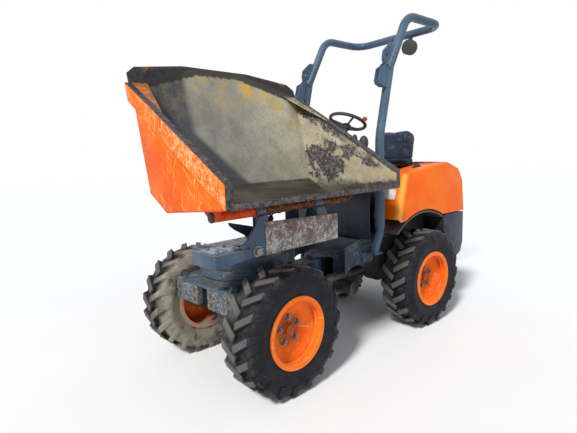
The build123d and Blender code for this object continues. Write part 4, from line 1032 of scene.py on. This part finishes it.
def backrest_form(form, low, high):
    """Backrest: rounded at its top corners and leaning back."""
    inset, corner = 0.012, 0.075
    middle = (low.x + high.x) / 2
    half = (high.x - low.x) / 2 - inset
    base = low.z + PAD_FOOT
    tall = high.z - base - 0.004
    outline = [(-half, 0), (half, 0)]
    for side, start in ((1, 0), (-1, 1)):
        for step in range(7):
            angle = math.pi / 2 * (start + step / 6)
            outline.append((side * (half - corner) + corner * math.cos(angle),
                            tall - corner + corner * math.sin(angle)))
    lean = math.atan2(0.045, 0.325)
    place = Matrix.Translation((middle, low.y + 0.015, base)) @ Matrix.Rotation(math.pi / 2 - lean, 4, "X")
    add_prism(form, outline, -0.085, -0.016, place)


def cushion_seams(low, high):
    """Point, normal, depth and width of each seam, as for the backrest."""
    middle = (low.x + high.x) / 2
    return [(Vector((middle + side * 0.125, 0, 0)), (1, side * 0.12, 0), 0.006, 0.006) for side in (-1, 1)]


def backrest_seams(low, high):
    middle = (low.x + high.x) / 2
    upright = [(Vector((middle + side * 0.115, 0, low.z)), (1, 0, side * -0.16), 0.007, 0.007) for side in (-1, 1)]
    return upright + [(Vector((0, 0, low.z + 0.075)), (0, 0, 1), 0.007, 0.007)]


pad("seat_pan_pad", "seat_cushion", cushion_form, cushion_seams)
pad("backrest_pad", "seat_back", backrest_form, backrest_seams)


# ---- bonnet ----
form = bmesh.new()
add_prism(form, rectangle(0.128, 0.078, 0.006), -0.0008, 0.0010, facing_matrix(BONNET_FACE, BONNET_FRONT))
LABEL = plain("blank_label", (0.56, 0.55, 0.52), (0.72, 0.71, 0.68), 0.45, 0.0, 0.03, 0.0002, 0.25)
piece("blank_label", form, "bonnet_lid", LABEL)
form = bmesh.new()
latch = facing_matrix(rear_place(0.378, 0.806, 1.252), Vector((0, -0.12, 1)))
add_prism(form, rectangle(0.034, 0.090, 0.008), -0.004, 0.007, latch)
add_prism(form, rectangle(0.012, 0.070, 0.004), 0.007, 0.019, latch)
piece("bonnet_latch", form, "bonnet_lid", BLACK_PAINT, 0.002)


# ---- floor, light and camera ----
FLOOR_SIZE = 60.0
SUN_FROM = Vector((0.32, -0.76, 0.76))
SUN_STRENGTH = 3.3
SUN_SPREAD = math.radians(9)
SKY_COLOUR = (0.80, 0.90, 1.0)
SKY_STRENGTH = 0.34
FILL_FROM = Vector((0.95, -0.15, 0.25))
FILL_STRENGTH = 0.55
FILL_SPREAD = math.radians(60)


def lay_floor():
    bpy.ops.mesh.primitive_plane_add(size=FLOOR_SIZE, location=(0, 0, 0))
    floor = bpy.context.object
    floor.name = "floor"
    look = Look("pale_floor", 0.8)
    floor.data.materials.append(look.paint(look.mix(look.noise(0.8, 3), (0.92, 0.91, 0.90), (0.95, 0.94, 0.93)), 0.9))


def light_up():
    """A soft sun, a weak broad fill, and a sky that looks white to the camera and in gloss."""
    for name, origin, strength, spread in (("sun", SUN_FROM, SUN_STRENGTH, SUN_SPREAD),
                                           ("fill", FILL_FROM, FILL_STRENGTH, FILL_SPREAD)):
        lamp = bpy.data.lights.new(name, "SUN")
        lamp.energy = strength
        lamp.angle = spread
        holder = bpy.data.objects.new(name, lamp)
        bpy.context.scene.collection.objects.link(holder)
        holder.rotation_euler = origin.to_track_quat("Z", "Y").to_euler()
    world = bpy.data.worlds.new("sky")
    bpy.context.scene.world = world
    world.use_nodes = True
    tree = world.node_tree
    sky = tree.nodes["Background"]
    sky.inputs["Color"].default_value = (*SKY_COLOUR, 1)
    sky.inputs["Strength"].default_value = SKY_STRENGTH
    white = new_node(tree, "ShaderNodeBackground", {"Color": (1, 1, 1)})
    rays = tree.nodes.new("ShaderNodeLightPath")
    seen = rays.outputs["Is Camera Ray"]
    for kind in ("Is Glossy Ray", "Is Transmission Ray"):
        seen = new_node(tree, "ShaderNodeMath", {0: seen, 1: rays.outputs[kind]}, operation="MAXIMUM")
    chosen = new_node(tree, "ShaderNodeMixShader", {0: seen, 1: sky.outputs[0], 2: white})
    tree.links.new(chosen, tree.nodes["World Output"].inputs["Surface"])


CAMERA_AT = PIN + Vector((2.384, -2.207, 1.376))
CAMERA_YAW = math.radians(50.31)
CAMERA_PITCH = math.radians(-8.07)
CAMERA_ROLL = math.radians(-1.96)
CAMERA_LENS = 26.92


def camera():
    data = bpy.data.cameras.new("camera")
    data.lens = CAMERA_LENS
    data.sensor_width = 36.0
    thing = bpy.data.objects.new("camera", data)
    bpy.context.scene.collection.objects.link(thing)
    thing.location = CAMERA_AT
    turn = Matrix.Rotation(CAMERA_YAW, 4, "Z") @ Matrix.Rotation(math.pi / 2 + CAMERA_PITCH, 4, "X")
    thing.rotation_euler = (turn @ Matrix.Rotation(CAMERA_ROLL, 4, "Z")).to_euler()
    bpy.context.scene.camera = thing


lay_floor()
light_up()
camera()
bpy.context.scene.view_settings.view_transform = "Standard"
